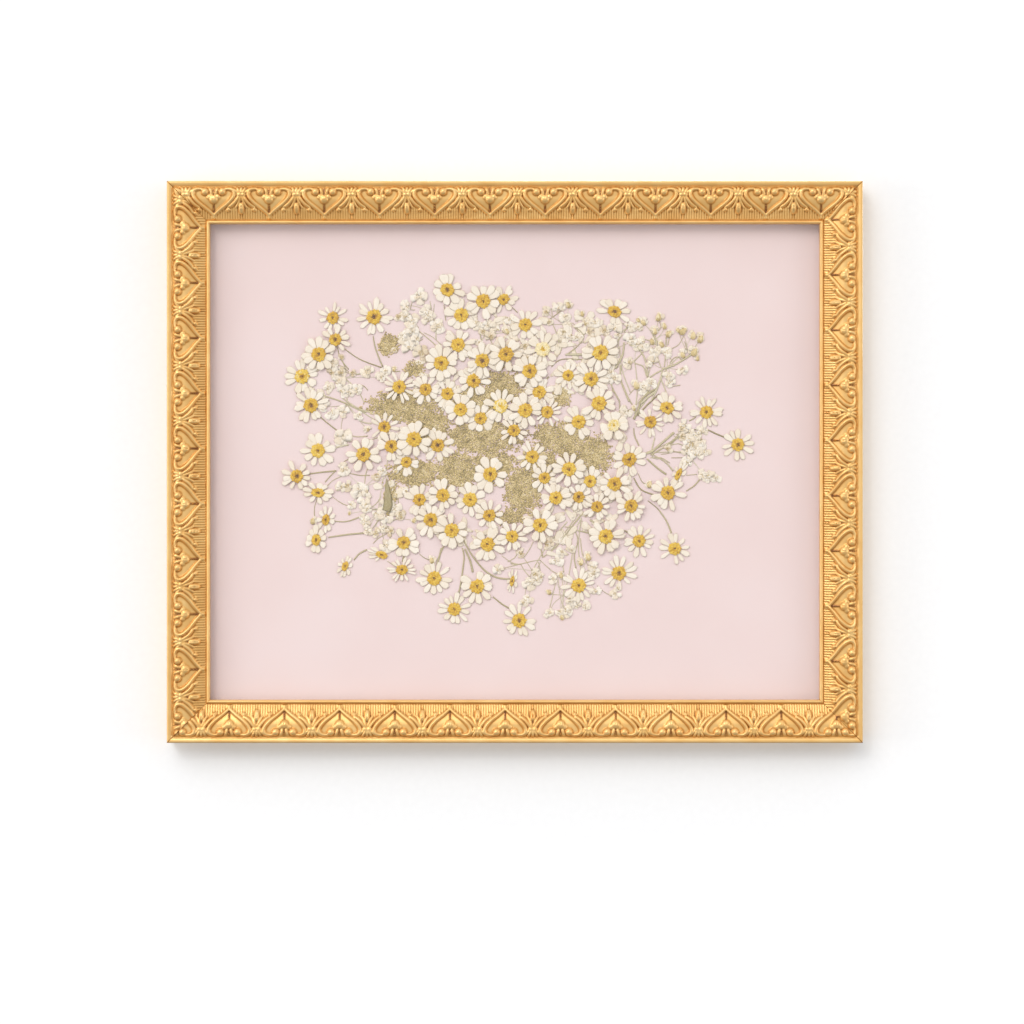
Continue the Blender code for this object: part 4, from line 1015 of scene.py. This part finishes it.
# --- Baby's-breath and umbels -------------------------------------------------------------------
# Little double white blossoms, crumpled flat, and umbels of hundreds of minute greenish-buff buds
# that fill the middle of the arrangement like a felt.
# Blossoms: (across, up, reach, look)
FLORETS = (
    (-54.5, 95, 4, "white"), (-61.5, 89.5, 3.1, "white"), (-66.5, 83, 2.3, "buff"),
    (-62, 83.5, 2.8, "white"), (-58.5, 80.5, 3.4, "white"), (-50.5, 85.5, 3.4, "white"),
    (-49.5, 82, 3.4, "white"), (-44.5, 77.5, 3.4, "white"), (-58.5, 74.5, 4, "white"),
    (-63.5, 72, 4, "white"), (-56, 70.5, 3.4, "white"), (-60, 65, 3.4, "white"),
    (-53.5, 62.5, 3.4, "buff"), (-69, 64, 1.7, "buff"), (-99, 60, 1.7, "buff"),
    (-104, 56.5, 3.4, "white"), (-104.5, 51, 2.8, "buff"), (-99, 51.5, 2.3, "buff"),
    (-92.5, 51, 2.3, "buff"), (-84, 52, 3.4, "cream"), (-74, 52, 2.6, "white"), (-76, 48.5, 2.8, "white"),
    (-101.5, 46.5, 3.7, "white"), (-106.5, 42.5, 2.6, "white"), (-95, 40.5, 4, "white"),
    (-99, 40, 2.8, "white"), (-90, 41, 3.1, "white"), (-105, 28.5, 3.4, "white"), (-98, 29, 3.4, "white"),
    (-99.5, 14.5, 4.6, "white"), (-84, 18.5, 2, "cream"), (-89, 26.5, 2.3, "white"),
    (-98, -4, 3.1, "white"), (-99.5, -14, 2.8, "white"), (-96, -13.5, 2.6, "buff"),
    (-89, -16.5, 3.7, "white"), (-84, -17, 2.8, "white"), (-86, -23.5, 3.4, "white"),
    (-85, -26.5, 2.8, "white"), (-94, -24.5, 2.8, "white"), (-73, -25, 3.4, "white"),
    (-69, -26.5, 3.4, "white"), (-79, -29, 3.4, "white"), (-74, -31.5, 3.4, "white"),
    (-65.5, -30, 2.8, "buff"), (-86, -33, 2.6, "white"), (-62, -17, 2, "white"), (-79, -7.5, 2.6, "buff"),
    (-76, -5, 2.3, "white"), (-109.5, 31.5, 3.4, "white"), (-85, -35, 2.8, "white"),
    (-84, -39, 2.8, "white"), (-79.5, -40.5, 2.3, "buff"), (-74.5, -38, 2.8, "white"),
    (-65.5, -31, 2.8, "buff"), (-71, -39.5, 2.3, "buff"), (-74, -48, 3.1, "white"),
    (-15.5, 78.5, 3.4, "white"), (-22.5, 79.5, 3.1, "white"), (-18, 74.5, 2, "buff"),
    (-3, 82, 3.1, "white"), (-4.5, 74.5, 2, "buff"), (-14, 71.5, 2.8, "buff"), (18, 85.5, 2.8, "cream"),
    (25.5, 87.5, 2.8, "white"), (29, 83, 2.8, "white"), (19.5, 80, 2, "buff"), (28, 74, 2.6, "cream"),
    (32, 72, 2.8, "white"), (35.5, 71.5, 2.6, "white"), (40.5, 79.5, 2.8, "buff"),
    (42.5, 74.5, 2.3, "buff"), (46, 80.5, 3.1, "white"), (6, 66.5, 2.3, "buff"), (7, 59, 2.6, "cream"),
    (-43.5, 78, 3.4, "white"), (-10.5, 75.5, 2.8, "white"), (56.5, 76.5, 3.4, "white"),
    (59, 73, 2, "white"), (51.5, 75, 2.6, "buff"), (65, 77, 3.1, "white"), (70, 76.5, 2.6, "white"),
    (66.5, 70, 3.4, "white"), (73.5, 67.5, 3.7, "white"), (79.5, 64.5, 3.4, "white"),
    (86, 62.5, 3.4, "white"), (78.5, 57, 3.1, "white"), (65.5, 57, 2.8, "cream"),
    (95.5, 53, 2.6, "white"), (87.5, 49.5, 2.6, "white"), (88.5, 46, 3.4, "white"),
    (73.5, 42.5, 3.1, "white"), (78, 45, 3.1, "white"), (57, 48, 3.1, "white"),
    (54.5, 51.5, 2.6, "white"), (56.5, 61.5, 3.1, "white"), (70.5, 67, 2.8, "white"),
    (97, 21, 2.8, "white"), (95.5, 19.5, 2, "buff"), (99.5, 17.5, 2.8, "white"), (96, 14.5, 2.8, "buff"),
    (99.5, 12.5, 2.8, "white"), (104, 16, 2.8, "white"), (106, 12.5, 3.1, "white"),
    (108.5, 6.5, 2.8, "white"), (104, 4, 3.1, "white"), (98.5, 7.5, 2.8, "white"),
    (98.5, -0.5, 2.8, "white"), (101, 10, 2.6, "buff"), (103.5, 8, 2.8, "white"),
    (107, 17.5, 2.8, "white"), (64, 29, 3.1, "white"), (87.5, 7.5, 2.3, "buff"),
    (107.5, -7.5, 2.8, "white"), (110.5, -8.5, 2.6, "white"), (114.5, -9, 2.8, "white"),
    (3.5, -52, 2.3, "buff"), (-9, -61.5, 2.8, "white"), (11.5, -64, 2.6, "buff"),
    (8.5, -69, 3.4, "white"), (12, -67, 2.8, "white"), (15, -65.5, 2.3, "white"),
    (7, -78.5, 2.8, "white"), (5.5, -80.5, 2.6, "white"), (21.5, -66.5, 2.6, "white"),
    (26.5, -65, 2, "buff"), (27, -51.5, 2.6, "white"), (32, -50, 2, "white"), (24, -56.5, 3.4, "white"),
    (19.5, -86, 2.6, "white"), (29, -85, 3.1, "white"), (25.5, -85.5, 2.3, "white"),
    (35.5, -81.5, 3.1, "white"), (40.5, -82.5, 2.6, "white"), (45, -60, 2.6, "white"),
    (45.5, -63, 2.3, "white"), (18.5, -47, 2.8, "buff"), (31.5, -78.5, 2.8, "white"),
    (57.5, -75.5, 2.6, "white"), (59, -72, 2, "white"), (44.5, -64.5, 2.6, "white"),
    (46, -73, 2.6, "white"),
)


def modelled_frill(lift, ruck):
    """One crumpled petal of a double blossom, about a millimetre long, base at the origin."""
    deselect()
    bpy.ops.mesh.primitive_grid_add(x_subdivisions=3, y_subdivisions=3, size=1)
    scrap = bpy.context.object
    growth = scrap.data.attributes.new("growth", "FLOAT_VECTOR", "POINT")
    for vertex, grown in zip(scrap.data.vertices, growth.data):
        across, along = vertex.co.x * 2, vertex.co.y + 0.5
        half = 0.16 + 0.4 * math.sin(math.pi * min(0.62, along * 0.72))
        end = 1 - 0.14 * across**2 * (along > 0.9)
        ripple = ruck * math.cos(across * 4.5) * along
        vertex.co = (across * half, along * end, lift * along + ripple)
        grown.vector = (across * 0.8, along * 0.93, 0.0)
    wall = scrap.modifiers.new("wall", "SOLIDIFY")
    wall.thickness = 0.05
    bpy.ops.object.modifier_apply(modifier=wall.name)
    return as_shape(scrap)


FRILLS = [modelled_frill(*form) for form in ((0.12, 0.07), (0.22, 0.1), (0.06, -0.08), (0.3, 0.05))]
deselect()
bpy.ops.mesh.primitive_ico_sphere_add(subdivisions=1, radius=0.5)
seed = bpy.context.object
for vertex in seed.data.vertices:
    vertex.co *= chance.uniform(0.85, 1.15)
    vertex.co.z *= 0.75
GRAIN = as_shape(seed)

blossom, shader = finish_of("crumpled_white_blossom", 0.65)
_, part = growth_of(blossom)
where = object_place(blossom)
papery = noise(blossom, where, 1300.0, 3.0)
shade = maths(blossom, "MULTIPLY_ADD", papery, 0.35, part["Z"])
shade = maths(blossom, "ADD", shade, -0.17)
colour(blossom, shader, shade, ((0.0, "D2BA94"), (0.3, "E8D5B8"), (0.6, "F2E4CF"), (1.0, "F8EEDF")))
shader.inputs["Specular IOR Level"].default_value = 0.3
roughen(blossom, shader, papery, 0.4, 0.0002)

# Where the baby's-breath forks, and the foot that each fork springs from
FORKS = (
    ((87, 54), (68.5, 27.5)), ((68.5, 58), (68.5, 27.5)), ((60, 66), (66, 40)), ((76, 41), (68.5, 27.5)),
    ((98, 64), (87, 54)), ((80, 70), (68.5, 58)), ((92, 13), (75.5, 5.5)), ((97, 6), (75.5, 5.5)),
    ((30, -50), (38, -32)), ((20, -52), (36, -30)), ((38, -64), (38, -32)), ((10, -62), (30, -34)),
    ((28, -76), (33, -52)), ((-86, -14), (-80, 4)), ((-78, -27), (-75, -8)), ((-96, 33), (-80, 24)),
    ((-97, 48), (-86, 34)), ((-56, 76), (-40, 62)), ((-50, 86), (-45, 70)), ((-16, 74), (-6, 60)),
    ((28, 79), (36, 60)), ((44, 76), (40, 60)), ((60, 74), (58, 58)),
)
PEDICEL = 0.34
for fork, foot in FORKS:
    bow = (fork[0] + foot[0]) / 2 + chance.uniform(-2.0, 2.0), (fork[1] + foot[1]) / 2
    lay_stalk(stalks[spray_at(*fork)], (fork, bow, foot), 1.8 * PEDICEL, 6.8, chance.uniform(0.55, 0.8), 0)
for across, up, radius, *_ in FLORETS + BUDS:
    fork = min((near for near, _ in FORKS), key=lambda near: math.dist(near, (across, up)))
    if 1.5 < math.dist(fork, (across, up)) < 22.0:
        bow = ((across + fork[0]) / 2 + chance.uniform(-1.5, 1.5),
               (up + fork[1]) / 2 + chance.uniform(-1.5, 1.5))
        path = ((across, up), bow, fork)
        lay_stalk(stalks[spray_at(across, up)], path, PEDICEL, 6.78, chance.uniform(0.55, 0.95), 0)

TONES = {"white": (0.4, 1.0), "cream": (0.35, 0.75), "buff": (0.1, 0.6)}
blossoms = {spray: new_bunch() for spray in HEADS}
tufts = tuple((across, up + radius * 0.5, radius * 1.15, "cream") for across, up, radius in BUDS)
for across, up, reach, look in FLORETS + tufts:
    bunch = blossoms[spray_at(across, up)]
    height = 6.86 + chance.uniform(0.0, 0.2)
    low, high = TONES[look]
    facing, arc = chance.uniform(0, 2 * math.pi), chance.uniform(3.2, 6.3)
    for ring, (petals, size, rise) in enumerate(((6, 1.25, 0.0), (4, 0.85, 0.07), (2, 0.55, 0.14))):
        for number in range(petals):
            turn = facing + arc * (number + chance.uniform(-0.6, 0.6)) / petals
            long = reach * size * chance.uniform(0.6, 1.2)
            own = placed(across, up, height + rise + chance.uniform(0, 0.08), turn,
                         long * chance.uniform(0.6, 1.1), long, chance.uniform(0.3, 0.65),
                         chance.uniform(-0.1, 0.1), chance.uniform(-0.02, 0.05))
            lay(bunch, chance.choice(FRILLS), [own], chance.uniform(low, high) - 0.05 * ring, 0)
    count = 6 if look == "white" else 16
    for number in range(count):
        off, turn = reach * 0.5 * math.sqrt(chance.random()), chance.uniform(0, 2 * math.pi)
        spot = placed(across + off * math.cos(turn), up + off * math.sin(turn), height + 0.32, turn,
                      0.55, 0.55, 0.4)
        lay(bunch, GRAIN, [spot], chance.uniform(0.25, 0.75), 1)

# Umbels: (across, up, half width, half height)
UMBELS = (
    (-63, 32, 22, 10), (-58, -6, 16, 9), (-18, 14.5, 25, 11), (-33, -5, 16, 11), (-6.5, 43, 14, 10),
    (26, 37, 6, 6), (19, 15, 9.5, 8), (44, 4, 12, 12), (4.5, -16, 11, 15), (-2.5, -31.5, 9, 5),
    (-57, 53, 6, 5), (-72, 67, 6.5, 6.5), (-50, 20, 14, 12), (14, -1, 12, 10), (-22, 34, 18, 10),
    (30, 12, 12, 12), (-71, -20, 4, 10), (-12, -2, 14, 10),
)
SPACING = 0.74
grid = np.array([(SPACING * (column + 0.5 * (row % 2)), SPACING * 0.87 * row)
                 for row in range(-75, 125) for column in range(-125, 85)])
scatter = np.random.default_rng(11)
grid = grid + scatter.uniform(-0.22, 0.22, grid.shape)
nearest = np.min([((grid[:, 0] - x) / wide) ** 2 + ((grid[:, 1] - z) / tall) ** 2
                  for x, z, wide, tall in UMBELS], axis=0)
ragged = (0.18 * np.sin(grid[:, 0] * 0.9 + 2 * np.sin(grid[:, 1] * 0.5))
          + 0.16 * np.sin(grid[:, 1] * 1.1 + grid[:, 0] * 0.3))
grid = grid[nearest < 0.84 + ragged + scatter.normal(0.0, 0.22, len(grid))]
x, z = grid.T
clouds = (np.sin(x * 0.43 + 1.7 * np.sin(z * 0.21)) * np.sin(z * 0.51 + 1.3 * np.sin(x * 0.27))
          + 0.6 * np.sin(x * 1.1 + z * 0.7) * np.sin(z * 1.3 - x * 0.4))
tones = np.clip(0.45 + 0.16 * clouds + scatter.uniform(-0.3, 0.3, len(grid)), 0.0, 1.0)
sizes = scatter.uniform(0.86, 1.26, len(grid))
heights = 6.8 + 0.14 * tones + scatter.uniform(0.0, 0.05, len(grid))
places = np.zeros((len(grid), 4, 4))
turns = scatter.uniform(0, 2 * math.pi, len(grid))
places[:, 0, 0], places[:, 0, 1] = sizes * np.cos(turns), -sizes * np.sin(turns)
places[:, 1, 0], places[:, 1, 1] = sizes * np.sin(turns), sizes * np.cos(turns)
places[:, 2, 2], places[:, 3, 3] = 0.42 * sizes, 1.0
places[:, 0, 3], places[:, 1, 3], places[:, 2, 3] = x, z, heights
for name, chosen in (("umbels_left", x < -26.0), ("umbels_right", x >= -26.0)):
    felt = new_bunch()
    lay(felt, GRAIN, places[chosen], tones[chosen], 0)
    pressed(name, felt, [husk], "spray_centre")

for spray in HEADS:
    pressed(f"stalks_{spray}", stalks[spray], [stalk, husk], f"spray_{spray}")
    pressed(f"blossoms_{spray}", blossoms[spray], [blossom, husk], f"spray_{spray}")


# --- Wall, light and camera ---------------------------------------------------------------------
# A plain white wall, seen only from in front; window light from the upper left as a wide soft sun
# and a small sharp one; reflectors at both sides, a lamp for the back, and a pale room that is
# brighter towards the ceiling.
centre_x = (cad_box[0][0] + cad_box[1][0]) / 2
centre_z = (cad_box[0][2] + cad_box[1][2]) / 2
deselect()
wall_place = (centre_x, 0.0002, centre_z)
bpy.ops.mesh.primitive_plane_add(size=6.0, location=wall_place, rotation=(math.radians(90), 0, 0))
wall = bpy.context.object
wall.name = "plain_wall"
bpy.ops.object.transform_apply(location=True, rotation=True, scale=True)
paint, shader = finish_of("matt_white_wall_paint", 0.95)
where = object_place(paint)
roller = noise(paint, where, 260.0, 3.0)
colour(paint, shader, roller, ((0.3, "F6F6F6"), (0.7, "F8F8F8")))
behind = add(paint, "ShaderNodeNewGeometry").outputs["Backfacing"]
clear = add(paint, "ShaderNodeBsdfTransparent")
one_sided = add(paint, "ShaderNodeMixShader", {0: behind, 1: shader.outputs[0], 2: clear.outputs[0]})
link(paint, one_sided.outputs[0], paint.node_tree.nodes["Material Output"].inputs["Surface"])
wall.data.materials.append(paint)
wall.visible_shadow = False
wall.visible_diffuse = False
wall.visible_glossy = False
wall.visible_transmission = True


def lamp(name, place, aim, size, power, colour):
    light = bpy.data.lights.new(name, "AREA")
    light.shape = "DISK"
    light.size = size
    light.energy = power
    light.color = hexed(colour)[:3]
    holder = bpy.data.objects.new(name, light)
    bpy.context.scene.collection.objects.link(holder)
    holder.location = place
    holder.rotation_euler = (Vector(aim) - Vector(place)).to_track_quat("-Z", "Y").to_euler()
    return holder


middle_of_picture = (centre_x, 0.0, centre_z)
SUN_COLOURS = {"window_light": hexed("FFFEFD")[:3], "window_glint": (1.0, 1.0, 1.0)}
for name, power, width, towards in (("window_light", 0.94, 38, (0.35, 0.8, -0.5)),
                                    ("window_glint", 0.16, 6, (0.3, 0.8, -0.42))):
    sun = bpy.data.lights.new(name, "SUN")
    sun.energy = power
    sun.angle = math.radians(width)
    sun.color = SUN_COLOURS[name]
    window = bpy.data.objects.new(name, sun)
    bpy.context.scene.collection.objects.link(window)
    window.rotation_euler = Vector(towards).to_track_quat("-Z", "Y").to_euler()
lamp("left_reflector", (-1.7, -0.8, centre_z), middle_of_picture, 1.0, 7.0, "FFFEFC")
lamp("right_reflector", (1.7, -0.8, centre_z), middle_of_picture, 1.0, 5.0, "FFFEFC")
lamp("back_light", (0.5, 1.6, centre_z + 0.8), middle_of_picture, 1.4, 18.0, "FFFDFA")

world = bpy.data.worlds.new("pale_room")
bpy.context.scene.world = world
world.use_nodes = True
room = world.node_tree.nodes["Background"]
room.inputs["Color"].default_value = hexed("F5F6F8")
facing = add(world, "ShaderNodeTexCoord").outputs["Generated"]
facing = add(world, "ShaderNodeSeparateXYZ", {"Vector": facing})
# Brighter towards the ceiling than towards the floor
glow = spanned(world, facing.outputs["Z"], from_min=-1.0, to_min=0.31, to_max=1.2)
link(world, glow, room.inputs["Strength"])

VIEW_WIDTH = 0.5826
DISTANCE = 1.6
camera_data = bpy.data.cameras.new("camera")
camera_data.sensor_width = 36.0
camera_data.lens = 36.0 * (DISTANCE - 0.018) / VIEW_WIDTH
camera = bpy.data.objects.new("camera", camera_data)
bpy.context.scene.collection.objects.link(camera)
camera.location = (centre_x - 0.0016, -DISTANCE, centre_z - 0.0285)
camera.rotation_euler = (math.radians(90), 0, 0)
bpy.context.scene.camera = camera
bpy.context.scene.view_settings.view_transform = "Standard"
